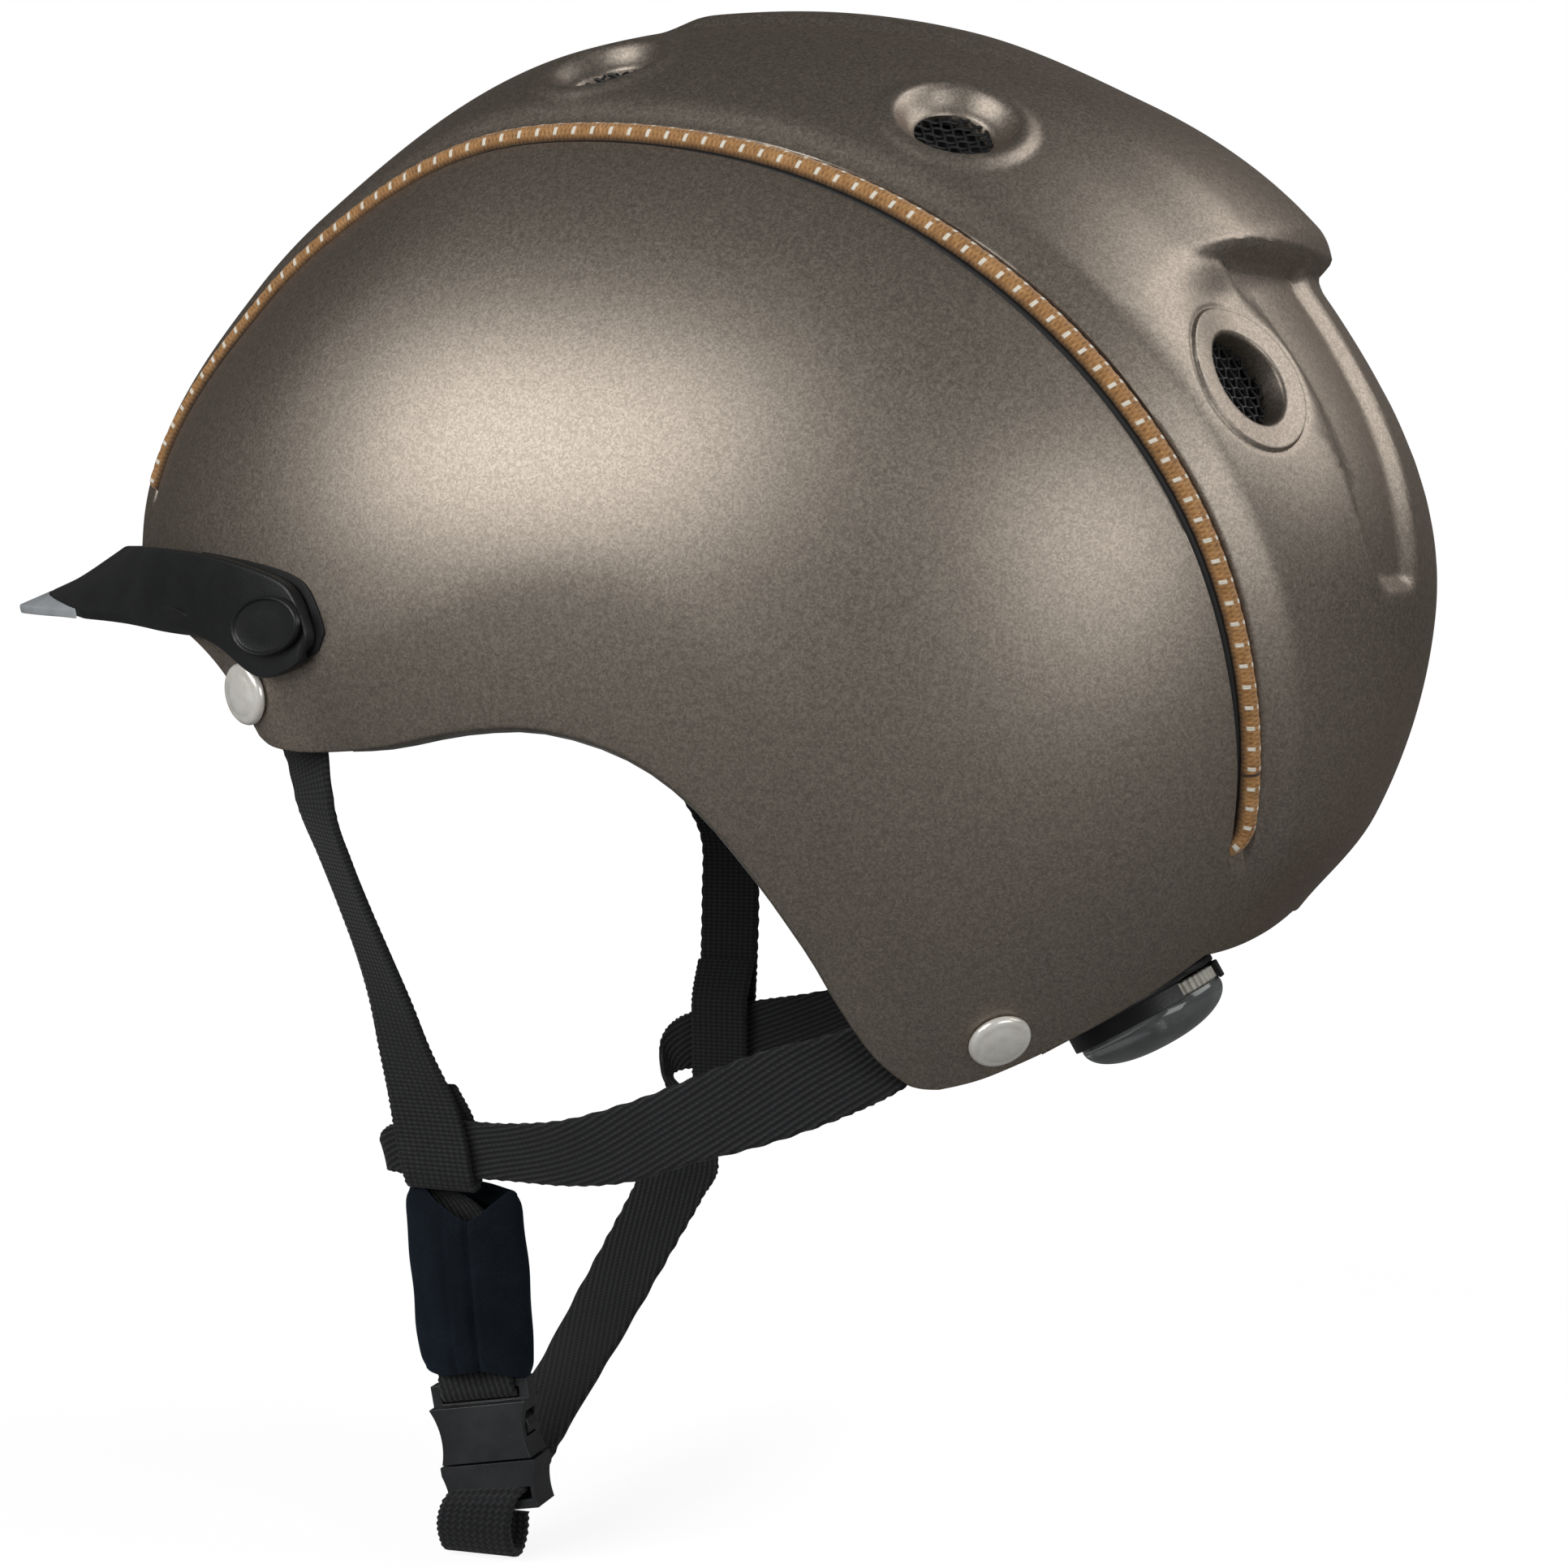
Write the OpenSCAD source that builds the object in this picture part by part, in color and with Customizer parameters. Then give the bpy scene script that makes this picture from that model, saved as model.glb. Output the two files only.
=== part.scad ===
// A riding helmet: moulded shell with piping, foam liner, visor, fit ring and chin harness.
// The helmet faces -Y, its left side is +X and +Z is up. The origin is mid-head, level with the ears.

/* [Shell] */
// Half the width of the outer shell
half_width = 107; // [100:0.5:112]
// Half the length of the outer shell
half_length = 131.5; // [126:0.5:137]
// Height of the crown above the widest level
crown_height = 108; // [102:0.5:114]
// Height of the widest level above the ears
waist_level = 50; // [46:0.5:54]
// Wall of the outer shell
shell_wall = 3.6; // [3.4:0.1:4.2]
// Rise of the centre band above the side panels
band_rise = 2.4; // [1.6:0.1:3]
// Width of the sloped shoulder beside the piping
shoulder_width = 9; // [7:0.5:11]
// Rise of the crown rib
rib_rise = 2.2; // [1:0.1:3]
// Rise of the rear hood above the band
hood_rise = 3; // [2:0.1:4]
// Depth of the two channels below the hood
channel_depth = 2.4; // [1.5:0.1:2.6]
// How far the lower skirt leans in below its crease
skirt_lean = 3; // [1:0.25:4]

/* [Piping] */
// Diameter of the piping cord
piping_d = 4.2; // [3.6:0.1:4.4]
// Depth of the groove that holds the piping
groove_depth = 2.5; // [2.4:0.1:2.8]

/* [Vents] */
// Radius of the dished ring round each vent
vent_ring_r = 13; // [11:0.5:14]
// Radius of the holes of the crown's vents
vent_hole_r = 7.4; // [6:0.2:9]
// Depth of the dish at those holes
vent_dish = 3; // [1:0.1:3.2]
// Radius of the holes of the rear vents
rear_hole_r = 9.2; // [7:0.2:10]

/* [Liner] */
// Thickness of the foam at the crown
foam_thick = 21; // [16:0.5:24]
// Thickness of the foam at the lower edge
foam_edge = 11; // [9:0.5:13]
// Height of the trim under the foam's edge
trim_height = 2; // [1.5:0.1:3]
// How far the edge trim shows below the shell
trim_drop = 1.6; // [0.5:0.1:2.5]
// Thickness of the comfort pads
pad_thick = 7; // [5:0.5:9]

/* [Visor] */
// Reach of the visor's lip ahead of the brow
visor_reach = 48; // [40:1:56]
// Thickness of the visor's side arms
arm_thick = 3.4; // [2.8:0.1:4]
// Thickness of the visor's lip
lip_thick = 1.8; // [1.4:0.1:2.4]

/* [Harness] */
// Thickness of the webbing
web_thick = 1.5; // [1.2:0.1:1.8]
// Width of the webbing where it is riveted
web_width = 16; // [14:0.5:17]
// Radius of the rivets' caps
rivet_r = 6; // [5.5:0.25:6.5]
// Radius of the rivets' posts
post_r = 2.4; // [2:0.1:2.8]

/* [Buckle] */
// Width of the buckle across its shoulders
buckle_width = 21; // [20:0.5:26]
// Thickness of the buckle
buckle_thick = 8.4; // [8:0.2:10]
// Wall of the buckle's socket
buckle_wall = 1.5; // [1.2:0.1:1.8]

/* [Fit ring] */
// Radius of the dial
dial_r = 16; // [14:0.5:18]
// Teeth on the dial's pinion
pinion_teeth = 10; // [8:2:12]
// Pitch of the rack's teeth
tooth_pitch = 3.14; // [3:0.02:3.3]
// Width of the band round the head
ring_band = 13; // [10:0.5:15]
// Travel of each rack
rack_travel = 10; // [6:0.5:11]

/* [Hidden] */
centre = [0, 0.5, waist_level];
COLUMN_STATIONS = 11;
COLUMN_PITCH = 38;

function mix(a, b, t) = a + (b - a) * t;
function clamp01(x) = min(1, max(0, x));
function ease(x, a, b) = let (t = clamp01((x - a) / (b - a))) t * t * (3 - 2 * t);
function unit(p) = p / norm(p);
// Smooth curve through the points of p, at a whole or broken index t
function curve(p, t) =
    let (n = len(p), i = min(n - 2, max(0, floor(t))), f = t - i, b = p[i], c = p[i + 1],
         a = i == 0 ? 2 * b - c : p[i - 1], d = i == n - 2 ? 2 * c - b : p[i + 2])
    (2 * b + (c - a) * f + (2 * a - 5 * b + 4 * c - d) * f * f
     + (3 * b - a - 3 * c + d) * f * f * f) / 2;

// Direction from the centre: a turns from the front (0) over the crown (90) to the rear (180),
// and phi leans to the side
function heading(a, phi) = [sin(phi), -cos(phi) * cos(a), cos(phi) * sin(a)];
function turn_of(d) = (atan2(d.z, -d.y) + 450) % 360 - 90;
function lean_of(d) = asin(abs(d.x) / norm(d));

// Broad form of the helmet: superellipse plan, round section, flatter front and a rear that drops
PLAN_POWER = 2.2;
function skirt_height(d) =
    let (sx = pow(d.x / half_width, 2), sy = pow(d.y / half_length, 2)) 118 + 32 * sx / (sx + sy + 1e-9);
function egg(d) =
    let (h = d.z >= 0 ? crown_height : skirt_height(d),
         plan = pow(abs(d.x) / half_width, PLAN_POWER) + pow(abs(d.y) / half_length, PLAN_POWER))
    1 / sqrt(pow(plan, 2 / PLAN_POWER) + pow(d.z / h, 2));
FRONT_FLAT = 5;
REAR_DROP = 4.5;
function broad(d) =
    let (a = turn_of(d), phi = lean_of(d))
    egg(d) - FRONT_FLAT * ease(a, 4, 30) * (1 - ease(a, 40, 72)) * (1 - ease(phi, 24, 50))
    - REAR_DROP * ease(a, 148, 154) * (1 - ease(a, 156, 184)) * (1 - ease(phi, 22, 34));

// Lean of the piping line off the centre plane, every 20 degrees from -20 to 220
PIPING_LEAN = [24, 22.8, 23.3, 27.9, 33.9, 39, 42.3, 43.5, 42.6, 39.3, 33.5, 26.1, 17];
function piping_lean(a) = curve(PIPING_LEAN, (a + 20) / 20);

// The surface is a net of columns u from brow (0) to nape (11), and of rows v
// from the rim (0) over the piping (1) to the centre plane (2)
CENTRE_TURN = [-3.5, 18, 38, 57, 76, 95, 114, 133, 152, 172, 192, 212];
PIPING_TURN = [-4, 16, 35, 53, 72, 91, 110, 128.5, 147, 167, 190, 216.5];
RIM = [[87, -76, 18], [92, -64, 16], [98, -49, 17], [103, -31, 20.5], [105, -14, 21.5], [105, 3, 17],
       [102.5, 16, 8], [98, 27, -6], [92, 35, -20], [86, 40.5, -32], [79, 46, -42], [69, 52, -48.5]];
MIDDLE = [[79, -93, 36], [86, -82, 53], [93, -63, 70], [98, -43, 80], [100.5, -20, 86], [101, 2, 85],
          [101, 22, 77], [100, 39, 64], [97, 53, 46], [91, 65, 24], [77, 77, -5], [57.5, 74.5, -37.5]];
DESIGN_CENTRE = [0, 0.5, 50];
function out_to(d) = unit(d) * broad(unit(d));
function rim_at(u) = out_to(curve(RIM, u) - DESIGN_CENTRE);
function middle_at(u) = out_to(curve(MIDDLE, u) - DESIGN_CENTRE);
function piping_at(u) = let (a = curve(PIPING_TURN, u)) out_to(heading(a, piping_lean(a)));
function side_length(u) = norm(rim_at(u) - 4 * middle_at(u) + 3 * piping_at(u));
// The net's corners are rounded: x and y are the distances from its two edges, and past them as far as the trim
CORNER_FRONT = 12;
CORNER_REAR = 18;
function round_off(x, y, r) =
    x >= r || y >= r ? [x, y]
    : let (a = 1 - x / r, b = 1 - y / r) [r * (1 - a * sqrt(1 - b * b / 2)), r * (1 - b * sqrt(1 - a * a / 2))];
function direction(u, v) =
    let (front = u < COLUMN_STATIONS / 2, length = side_length(u), past = trim_drop,
         c = round_off((front ? u : COLUMN_STATIONS - u) * COLUMN_PITCH + past, v * length + past,
                       past + (front ? CORNER_FRONT : CORNER_REAR)),
         x = (c[0] - past) / COLUMN_PITCH)
    net_direction(front ? x : COLUMN_STATIONS - x, (c[1] - past) / length);
function net_direction(u, v) =
    v <= 1
    ? unit(rim_at(u) * (2 * v - 1) * (v - 1) + middle_at(u) * 4 * v * (1 - v) + piping_at(u) * v * (2 * v - 1))
    : let (a = curve(PIPING_TURN, u), w = v - 1)
      heading(mix(a, curve(CENTRE_TURN, u), w), piping_lean(a) * (1 - w));
// Row that lies e mm inside (+) or outside (-) the piping line
function row_off(u, e) =
    e < 0 ? 1 + e / side_length(u) : 1 + e / (piping_lean(curve(PIPING_TURN, u)) * PI / 180 * norm(piping_at(u)));

// Relief of the outer face
GROOVE_HALF = piping_d / 2 + 0.15;
CREST = GROOVE_HALF + shoulder_width;
CREASE_DROP = 25;
LIP_TURN = 151;
function crease_row(u) = CREASE_DROP / side_length(u);
function edge_off(a, phi, r) = (piping_lean(a) - phi) * PI / 180 * r;
function groove(e) = -groove_depth * (1 - ease(abs(e), GROOVE_HALF, GROOVE_HALF + 0.8));
function band(e) = 0.5 * ease(e, 0, GROOVE_HALF) + (band_rise - 0.5) * ease(e, GROOVE_HALF, CREST);
function rib(a, phi) =
    rib_rise * ease(a, 82, 85) * (1 - ease(a, 112, 130)) * (1 - ease(phi, 12, 14));
function lip_turn(phi) = LIP_TURN - 4 * pow(phi / 27, 2);
function hood(a, phi) =
    hood_rise * ease(a, 112, 146) * (1 - ease(a, lip_turn(phi), lip_turn(phi) + 1.5)) * (1 - ease(phi, 18, 28));
// Lean of the channels' outer and inner edges, every CHANNEL_STEP degrees from CHANNEL_START
CHANNEL_START = 149.5;
CHANNEL_STEP = 6.3;
CHANNEL_OUTER = [21.4, 17.8, 16.8, 16.9, 16.7, 14.4];
CHANNEL_INNER = [4.6, 4.6, 4.9, 5.6, 6.8, 7.8];
function channel_edge(list, a) = curve(list, min(5, max(0, (a - CHANNEL_START) / CHANNEL_STEP)));
function channel(a, phi) =
    -channel_depth * ease(a, lip_turn(phi), lip_turn(phi) + 1.5) * (1 - ease(a, 180, 181.5))
    * ease(phi - channel_edge(CHANNEL_INNER, a), -0.5, 0.5) * (1 - ease(phi - channel_edge(CHANNEL_OUTER, a), -1, 1));
function skirt(u, v) =
    -skirt_lean * (1 - clamp01(v / crease_row(u))) * ease(u, 0.3, 1.5) * (1 - ease(u, 8, 10));
function relief(u, v) =
    let (d = direction(u, v), a = turn_of(d), phi = lean_of(d), e = edge_off(a, phi, 120),
         live = 1 - ease(a, 202, 212))
    band(e) * live + groove(e) * (1 - ease(a, 204.5, 206.5)) * ease(a, 5, 10) + rib(a, phi) + hood(a, phi) + channel(a, phi)
    + (v < 1 ? skirt(u, v) : 0);
function outer(u, v) = let (d = direction(u, v)) centre + d * (broad(d) + relief(u, v));
function inner(u, v, off) =
    let (d = direction(u, v)) centre + d * (broad(d) - off + (v < 1 ? skirt(u, v) : 0));

// Rows of half a column, from the rim to the centre plane
function half_rows(u) = concat(
    [0, 0.4 * crease_row(u), crease_row(u), 0.42, 0.62, 0.8],
    [for (e = [-GROOVE_HALF - 0.8, -GROOVE_HALF, 0, GROOVE_HALF, GROOVE_HALF + 0.8, CREST]) row_off(u, e)],
    [1.36, 1.46, 1.54, 1.61, 1.7, 1.84, 1.885]);
COLUMNS = concat([for (i = [0:30]) i / 4], [7.68, 7.85, 7.93, 8.02], [for (i = [33:44]) i / 4]);
function flip(p) = [-p.x, p.y, p.z];
function across(half, middle) = concat(half, [middle], [for (i = [len(half) - 1:-1:0]) flip(half[i])]);
outer_net = [for (u = COLUMNS) across([for (v = half_rows(u)) outer(u, v)], outer(u, 2))];
inner_net = [for (u = COLUMNS) across([for (v = half_rows(u)) inner(u, v, shell_wall)], inner(u, 2, shell_wall))];

// Closed plate between two nets of points
module plate(top, bottom) {
    rows = len(top);
    cols = len(top[0]);
    t = function(i, j) i * cols + j;
    b = function(i, j) rows * cols + i * cols + j;
    quad = function(p, q, r, s, turned = false) turned ? [[p, s, q], [q, s, r]] : [[p, r, q], [p, s, r]];
    half = (cols - 1) / 2;
    polyhedron(concat([for (r = top, p = r) p], [for (r = bottom, p = r) p]), concat(
        [for (i = [0:rows - 2], j = [0:cols - 2]) each quad(t(i, j), t(i + 1, j), t(i + 1, j + 1), t(i, j + 1), j >= half)],
        [for (i = [0:rows - 2], j = [0:cols - 2]) each quad(b(i, j), b(i, j + 1), b(i + 1, j + 1), b(i + 1, j), j >= half)],
        [for (i = [0:rows - 2]) each quad(t(i, 0), b(i, 0), b(i + 1, 0), t(i + 1, 0))],
        [for (i = [0:rows - 2], j = cols - 1) each quad(t(i, j), t(i + 1, j), b(i + 1, j), b(i, j))],
        [for (j = [0:cols - 2]) each quad(t(0, j), t(0, j + 1), b(0, j + 1), b(0, j))],
        [for (j = [0:cols - 2], i = rows - 1) each quad(t(i, j), b(i, j), b(i, j + 1), t(i, j + 1))]));
}
// Solid carried through a list of rings with the same number of points
module loft(rings, closed = false) {
    n = len(rings[0]);
    m = len(rings);
    at = function(i, j) (i % m) * n + j % n;
    last = closed ? m - 1 : m - 2;
    sides = [for (i = [0:last], j = [0:n - 1]) each [[at(i, j), at(i, j + 1), at(i + 1, j + 1)],
                                                    [at(i, j), at(i + 1, j + 1), at(i + 1, j)]]];
    caps = [for (j = [1:n - 2]) each [[0, j + 1, j], [at(m - 1, 0), at(m - 1, j), at(m - 1, j + 1)]]];
    polyhedron([for (r = rings, p = r) p], closed ? sides : concat(sides, caps));
}
// Webbing between two edge curves a and b, with steps rings between their points
module webbing(a, b, steps = 3, thick = web_thick) {
    count = (len(a) - 1) * steps;
    pa = [for (i = [0:count]) curve(a, i / steps)];
    pb = [for (i = [0:count]) curve(b, i / steps)];
    mid = (pa + pb) / 2;
    loft([for (i = [0:count])
        let (run = unit(mid[min(count, i + 1)] - mid[max(0, i - 1)]),
             off = unit(cross(run, pb[i] - pa[i])) * thick / 2)
        [pa[i] + off, pb[i] + off, pb[i] - off, pa[i] - off]]);
}
module both_sides() {
    children();
    mirror([1, 0, 0]) children();
}

// Places on the skin, by turn and lean: local Z points out, X to the rear and Y up
function skin(a, phi) = centre + heading(a, phi) * broad(heading(a, phi));
function skin_out(a, phi) =
    let (n = cross(skin(a + 1, phi) - skin(a - 1, phi), skin(a, phi + 1) - skin(a, phi - 1)))
    unit(n) * sign(n * heading(a, phi));
module on_skin(spot) {
    p = skin(spot[0], spot[1]);
    n = skin_out(spot[0], spot[1]);
    s = unit(cross([0, 0, 1], n));
    t = cross(n, s);
    multmatrix([[s.x, t.x, n.x, p.x], [s.y, t.y, n.y, p.y], [s.z, t.z, n.z, p.z], [0, 0, 0, 1]]) children();
}
VENTS = [[78.4, 25.6], [122.3, 30.5], [161.2, 25.6]];
REAR_DISH = 0.4;
FRONT_RIVET = [-16.1, 47.1];
REAR_RIVET = [232.7, 33];
RIVETS = [FRONT_RIVET, REAR_RIVET];
// Turn of each riveted strap about its rivet: the strap leaves along local -Y
STRAP_TURN = [34, -68];
CAP_SPOT = [-7.6, 54.2];
seat_gap = 0.3;
// Room for the flats of the curved faces, over the gap of a seat
FLATS = 0.7;
MESH = 0.05;

// Shell
DISH_STEPS = 5;
function hole_r(i) = i < 2 ? vent_hole_r : rear_hole_r;
module vent_cut(i) {
    drop = function(t) -0.9 - (i < 2 ? vent_dish : REAR_DISH) * pow(1 - t, 2);
    translate([0, 0, band_rise]) rotate_extrude($fn = 48)
        polygon(concat([[0, -shell_wall - 12], [hole_r(i), -shell_wall - 12]],
                       [for (k = [0:DISH_STEPS]) [mix(hole_r(i), vent_ring_r, k / DISH_STEPS), drop(k / DISH_STEPS)]],
                       [[vent_ring_r, 4], [0, 4]]));
}
module outer_shell() {
    color("#7e7468") difference() {
        plate(outer_net, inner_net);
        both_sides() for (i = [0:2]) on_skin(VENTS[i]) vent_cut(i);
        both_sides() for (r = RIVETS) on_skin(r) translate([0, 0, -12]) cylinder(r = post_r + MESH, h = 20, $fn = 32);
        both_sides() on_skin(CAP_SPOT) translate([0, 0, -12]) cylinder(r = stud_r + MESH, h = 20, $fn = 32);
    }
}

// Foam liner and the trim under its edge
inset_u = (trim_height + 3 * seat_gap) / COLUMN_PITCH;
function rim_distance(u, v) = min(v * side_length(u), u * COLUMN_PITCH, (COLUMN_STATIONS - u) * COLUMN_PITCH);
function foam_at(u, v) = mix(foam_edge, foam_thick, ease(rim_distance(u, v), 4, 45));
function foam_out(u, v) =
    let (a = turn_of(direction(u, v))) inner(u, v, shell_wall + seat_gap + FLATS + 0.8 * ease(a, 130, 145) * (1 - ease(a, 175, 190)));
function foam_in(u, v, off = 0) = inner(u, v, shell_wall + seat_gap + foam_at(u, v) + off);
function foam_u(u) = min(COLUMN_STATIONS - inset_u, max(inset_u, u));
FOAM_COLUMNS = [for (i = [0:22]) foam_u(i / 2)];
function foam_rows(u) = concat([(trim_height + seat_gap) / side_length(u)], [0.12, 0.3, 0.5, 0.75, 1, 1.25, 1.5, 1.75]);
foam_top = [for (u = FOAM_COLUMNS) across([for (v = foam_rows(u)) foam_out(u, v)], foam_out(u, 2))];
foam_under = [for (u = FOAM_COLUMNS) across([for (v = foam_rows(u)) foam_in(u, v)], foam_in(u, 2))];
// Pocket in the foam that the strap, its rivet washer and the post need
POCKET_DEEP = 8;
POCKET_MORE = [4, 9];
module strap_pocket(i) {
    width = web_width + POCKET_MORE[i];
    rotate([0, 0, STRAP_TURN[i]]) translate([-width / 2, -60, -shell_wall - POCKET_DEEP]) cube([width, 60 + rivet_r + 1, POCKET_DEEP + 2]);
}
module foam_liner() {
    color("#34343a") difference() {
        plate(foam_top, foam_under);
        both_sides() for (i = [0:2]) on_skin(VENTS[i]) translate([0, 0, -60]) cylinder(r = hole_r(i) - 0.8, h = 70, $fn = 40);
        both_sides() for (i = [0, 1]) on_skin(RIVETS[i]) strap_pocket(i);
        for (s = [-1, 1]) band_pocket(s);
        both_sides() on_skin(CAP_SPOT) translate([0, 0, -12]) cylinder(r = stud_r + 1, h = 20, $fn = 32);
        both_sides() for (s = SNAPS) on_foam(s) translate([0, 0, -2]) cylinder(r = snap_r + MESH, h = 9, $fn = 32);
    }
}
TRIM_U = concat([0, 0.1, 0.2], [for (i = [1:32]) i / 3], [10.8, 10.9, 11]);
TRIM_V = [0.07, 0.15, 0.25, 0.6, 0.95, 1.2, 1.45, 1.7];
function trim_ring(u, v, side) =
    let (tu = min(COLUMN_STATIONS - trim_height / COLUMN_PITCH, max(trim_height / COLUMN_PITCH, u)),
         tv = max(v, trim_height / side_length(u)),
         lu = u + (u <= 0 ? -1 : u >= COLUMN_STATIONS ? 1 : 0) * trim_drop / COLUMN_PITCH,
         lv = v > 0 ? v : -trim_drop / side_length(u),
         low = [inner(lu, lv, shell_wall + seat_gap), inner(lu, lv, shell_wall + seat_gap + foam_edge)],
         high = [inner(tu, tv, shell_wall + seat_gap + foam_edge), inner(tu, tv, shell_wall + seat_gap)],
         ring = [high[1], high[0], low[1], low[0]])
    side > 0 ? ring : [for (p = ring) flip(p)];
module rim_trim() {
    rear = concat([for (v = TRIM_V) [v, 1]], [[2, 1]], [for (i = [len(TRIM_V) - 1:-1:0]) [TRIM_V[i], -1]]);
    front = [for (i = [len(rear) - 1:-1:0]) rear[i]];
    color("#9a9a96") difference() {
        loft(concat([for (u = TRIM_U) trim_ring(u, 0, 1)],
                    [for (r = rear) trim_ring(COLUMN_STATIONS, r[0], r[1])],
                    [for (i = [len(TRIM_U) - 1:-1:0]) trim_ring(TRIM_U[i], 0, -1)],
                    [for (r = front) trim_ring(0, r[0], r[1])]), closed = true);
        both_sides() for (i = [0, 1]) on_skin(RIVETS[i]) strap_pocket(i);
        for (s = [-1, 1]) band_pocket(s);
    }
}

// Piping in its groove
PIPING_START = 0.75;
PIPING_END = 10.6;
PIPING_SIDES = 8;
piping_columns = [for (u = COLUMNS) if (u >= PIPING_START && u <= PIPING_END) u];
function piping_point(u) = let (d = direction(u, 1)) centre + d * (broad(d) - groove_depth + seat_gap + piping_d / 2);
module piping() {
    path = [for (u = piping_columns) piping_point(u)];
    n = len(path);
    loft([for (i = [0:n - 1])
        let (run = unit(path[min(n - 1, i + 1)] - path[max(0, i - 1)]), out = unit(path[i] - centre),
             side = unit(cross(run, out)), up = cross(side, run))
        [for (k = [0:PIPING_SIDES - 1]) let (w = 360 * (k + 0.5) / PIPING_SIDES)
            path[i] + piping_d / 2 * (side * cos(w) + up * sin(w))]]);
}
module piping_left() { color("#a9794a") piping(); }
module piping_right() { color("#a9794a") mirror([1, 0, 0]) piping(); }

// Visor: upper line, lip and lower line on the brow, from the centre to the end of the left arm
VISOR_UPPER = [[0, -129, 54], [22, -127.5, 54], [42, -121.5, 54.3], [58, -112.5, 54.5], [71, -101, 54.5],
               [82, -89, 54], [90.5, -77, 52.5], [97, -64, 49], [99.5, -56, 43]];
VISOR_LIP = [[0, 0], [25, 5.5], [45, 21], [59, 38], [70, 56], [79.5, 73]];
LIP_LEVEL = [40, 40.5, 40.8, 40.8, 40.2, 38.4];
ARM_LOWER = [[86.5, -82.5, 37], [92, -71, 31.5], [96.5, -61, 31.5]];
VISOR_ROOT = [[0, -131.5, 47], [24, -129, 47], [45, -122, 47], [61, -112.5, 46], [74, -100, 44.5],
              [82, -90, 42], [87, -82, 39], [92.5, -71, 35], [97, -61.5, 35.5]];
BROW_FRONT = 9.5 - half_length;
REACH_BASE = 48;
lip_points = concat([for (i = [0:5]) let (p = VISOR_LIP[i])
    [p.x, BROW_FRONT - visor_reach + p.y * (p.y < 70 ? visor_reach / REACH_BASE : 1)
          + (i == 5 ? visor_reach - REACH_BASE : 0), LIP_LEVEL[i]]], ARM_LOWER);
VISOR_GAP = 0.9;
// Point on the outer skin towards p, off mm out
function on_brow(p, off) =
    let (d = unit(p - DESIGN_CENTRE), e = edge_off(turn_of(d), lean_of(d), 120)) centre + d * (broad(d) + band(e) + off);
TIP_END = 3.2;
TIP_GAP = 0.008;
function tip_part(k) = 0.33 * max(0, 1 - pow(k / TIP_END, 2));
function visor_parts(k, gap = 0) =
    let (w = ease(k, 4.5, 6), u = curve(VISOR_UPPER, k), l = curve(lip_points, k), r = curve(VISOR_ROOT, k),
         a = on_brow(u, VISOR_GAP), b = on_brow(u, arm_thick),
         tip_top = mix(l + [0, 0, lip_thick / 2], on_brow(l, arm_thick), w),
         tip_low = mix(l + [0, 0.4, -lip_thick / 2], on_brow(l, VISOR_GAP), w),
         back_low = mix(on_brow(r, VISOR_GAP + 2.4), on_brow(mix(r, l, 0.4), VISOR_GAP), w),
         back = on_brow(r, VISOR_GAP),
         mid_top = mix(mix(b, tip_top, 0.5) - [0, 0, 0.6], on_brow(mix(u, l, 0.5), arm_thick), w),
         mid_low = mix(mix(tip_low, back_low, 0.5) + [0, 0, 0.6], on_brow(mix(r, l, 0.7), VISOR_GAP), w),
         f = max(0, tip_part(k) - gap))
    [a, b, mid_top, mix(tip_top, mid_top, 2 * f), mix(tip_low, mid_low, 2 * f), mid_low, back_low, back,
     tip_top, tip_low];
VISOR_STEPS = [for (i = [0:16]) i / 2];
function mirrored(rings) = concat([for (i = [len(rings) - 1:-1:1]) [for (p = rings[i]) flip(p)]], rings);
module visor() {
    rings = [for (k = VISOR_STEPS) let (p = visor_parts(k)) [for (i = [7:-1:0]) p[i]]];
    color("#1d1d1f") difference() {
        loft(mirrored(rings));
        both_sides() on_skin(CAP_SPOT) translate([0, 0, -12]) cylinder(r = stud_r + MESH, h = 30, $fn = 32);
    }
}
module visor_tip() {
    steps = [for (i = [0:6]) i / 2];
    rings = [for (k = steps) let (p = visor_parts(k, TIP_GAP)) [p[4], p[9], p[8], p[3]]];
    color("#8d9196") loft(mirrored(rings));
}
stud_r = 2.5;
CAP_HEIGHT = 1.6;
cap_seat = arm_thick + seat_gap;
module visor_caps() {
    color("#222224") both_sides() on_skin(CAP_SPOT) rotate([0, 0, 8]) translate([0, 0, cap_seat]) difference() {
        scale([1, 0.72, 1]) cylinder(r1 = 8.4, r2 = 7.8, h = CAP_HEIGHT, $fn = 64);
        translate([0, 0, CAP_HEIGHT - 0.5]) scale([1, 0.72, 1]) cylinder(r = 6.8, h = 1, $fn = 64);
    }
}
module visor_studs() {
    color("#303030") both_sides() on_skin(CAP_SPOT) translate([0, 0, -shell_wall - 2]) {
        cylinder(r = stud_r, h = shell_wall + 2 + cap_seat, $fn = 32);
        cylinder(r1 = stud_r, r2 = stud_r + 0.8, h = 1.6, $fn = 32);
    }
}

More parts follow.
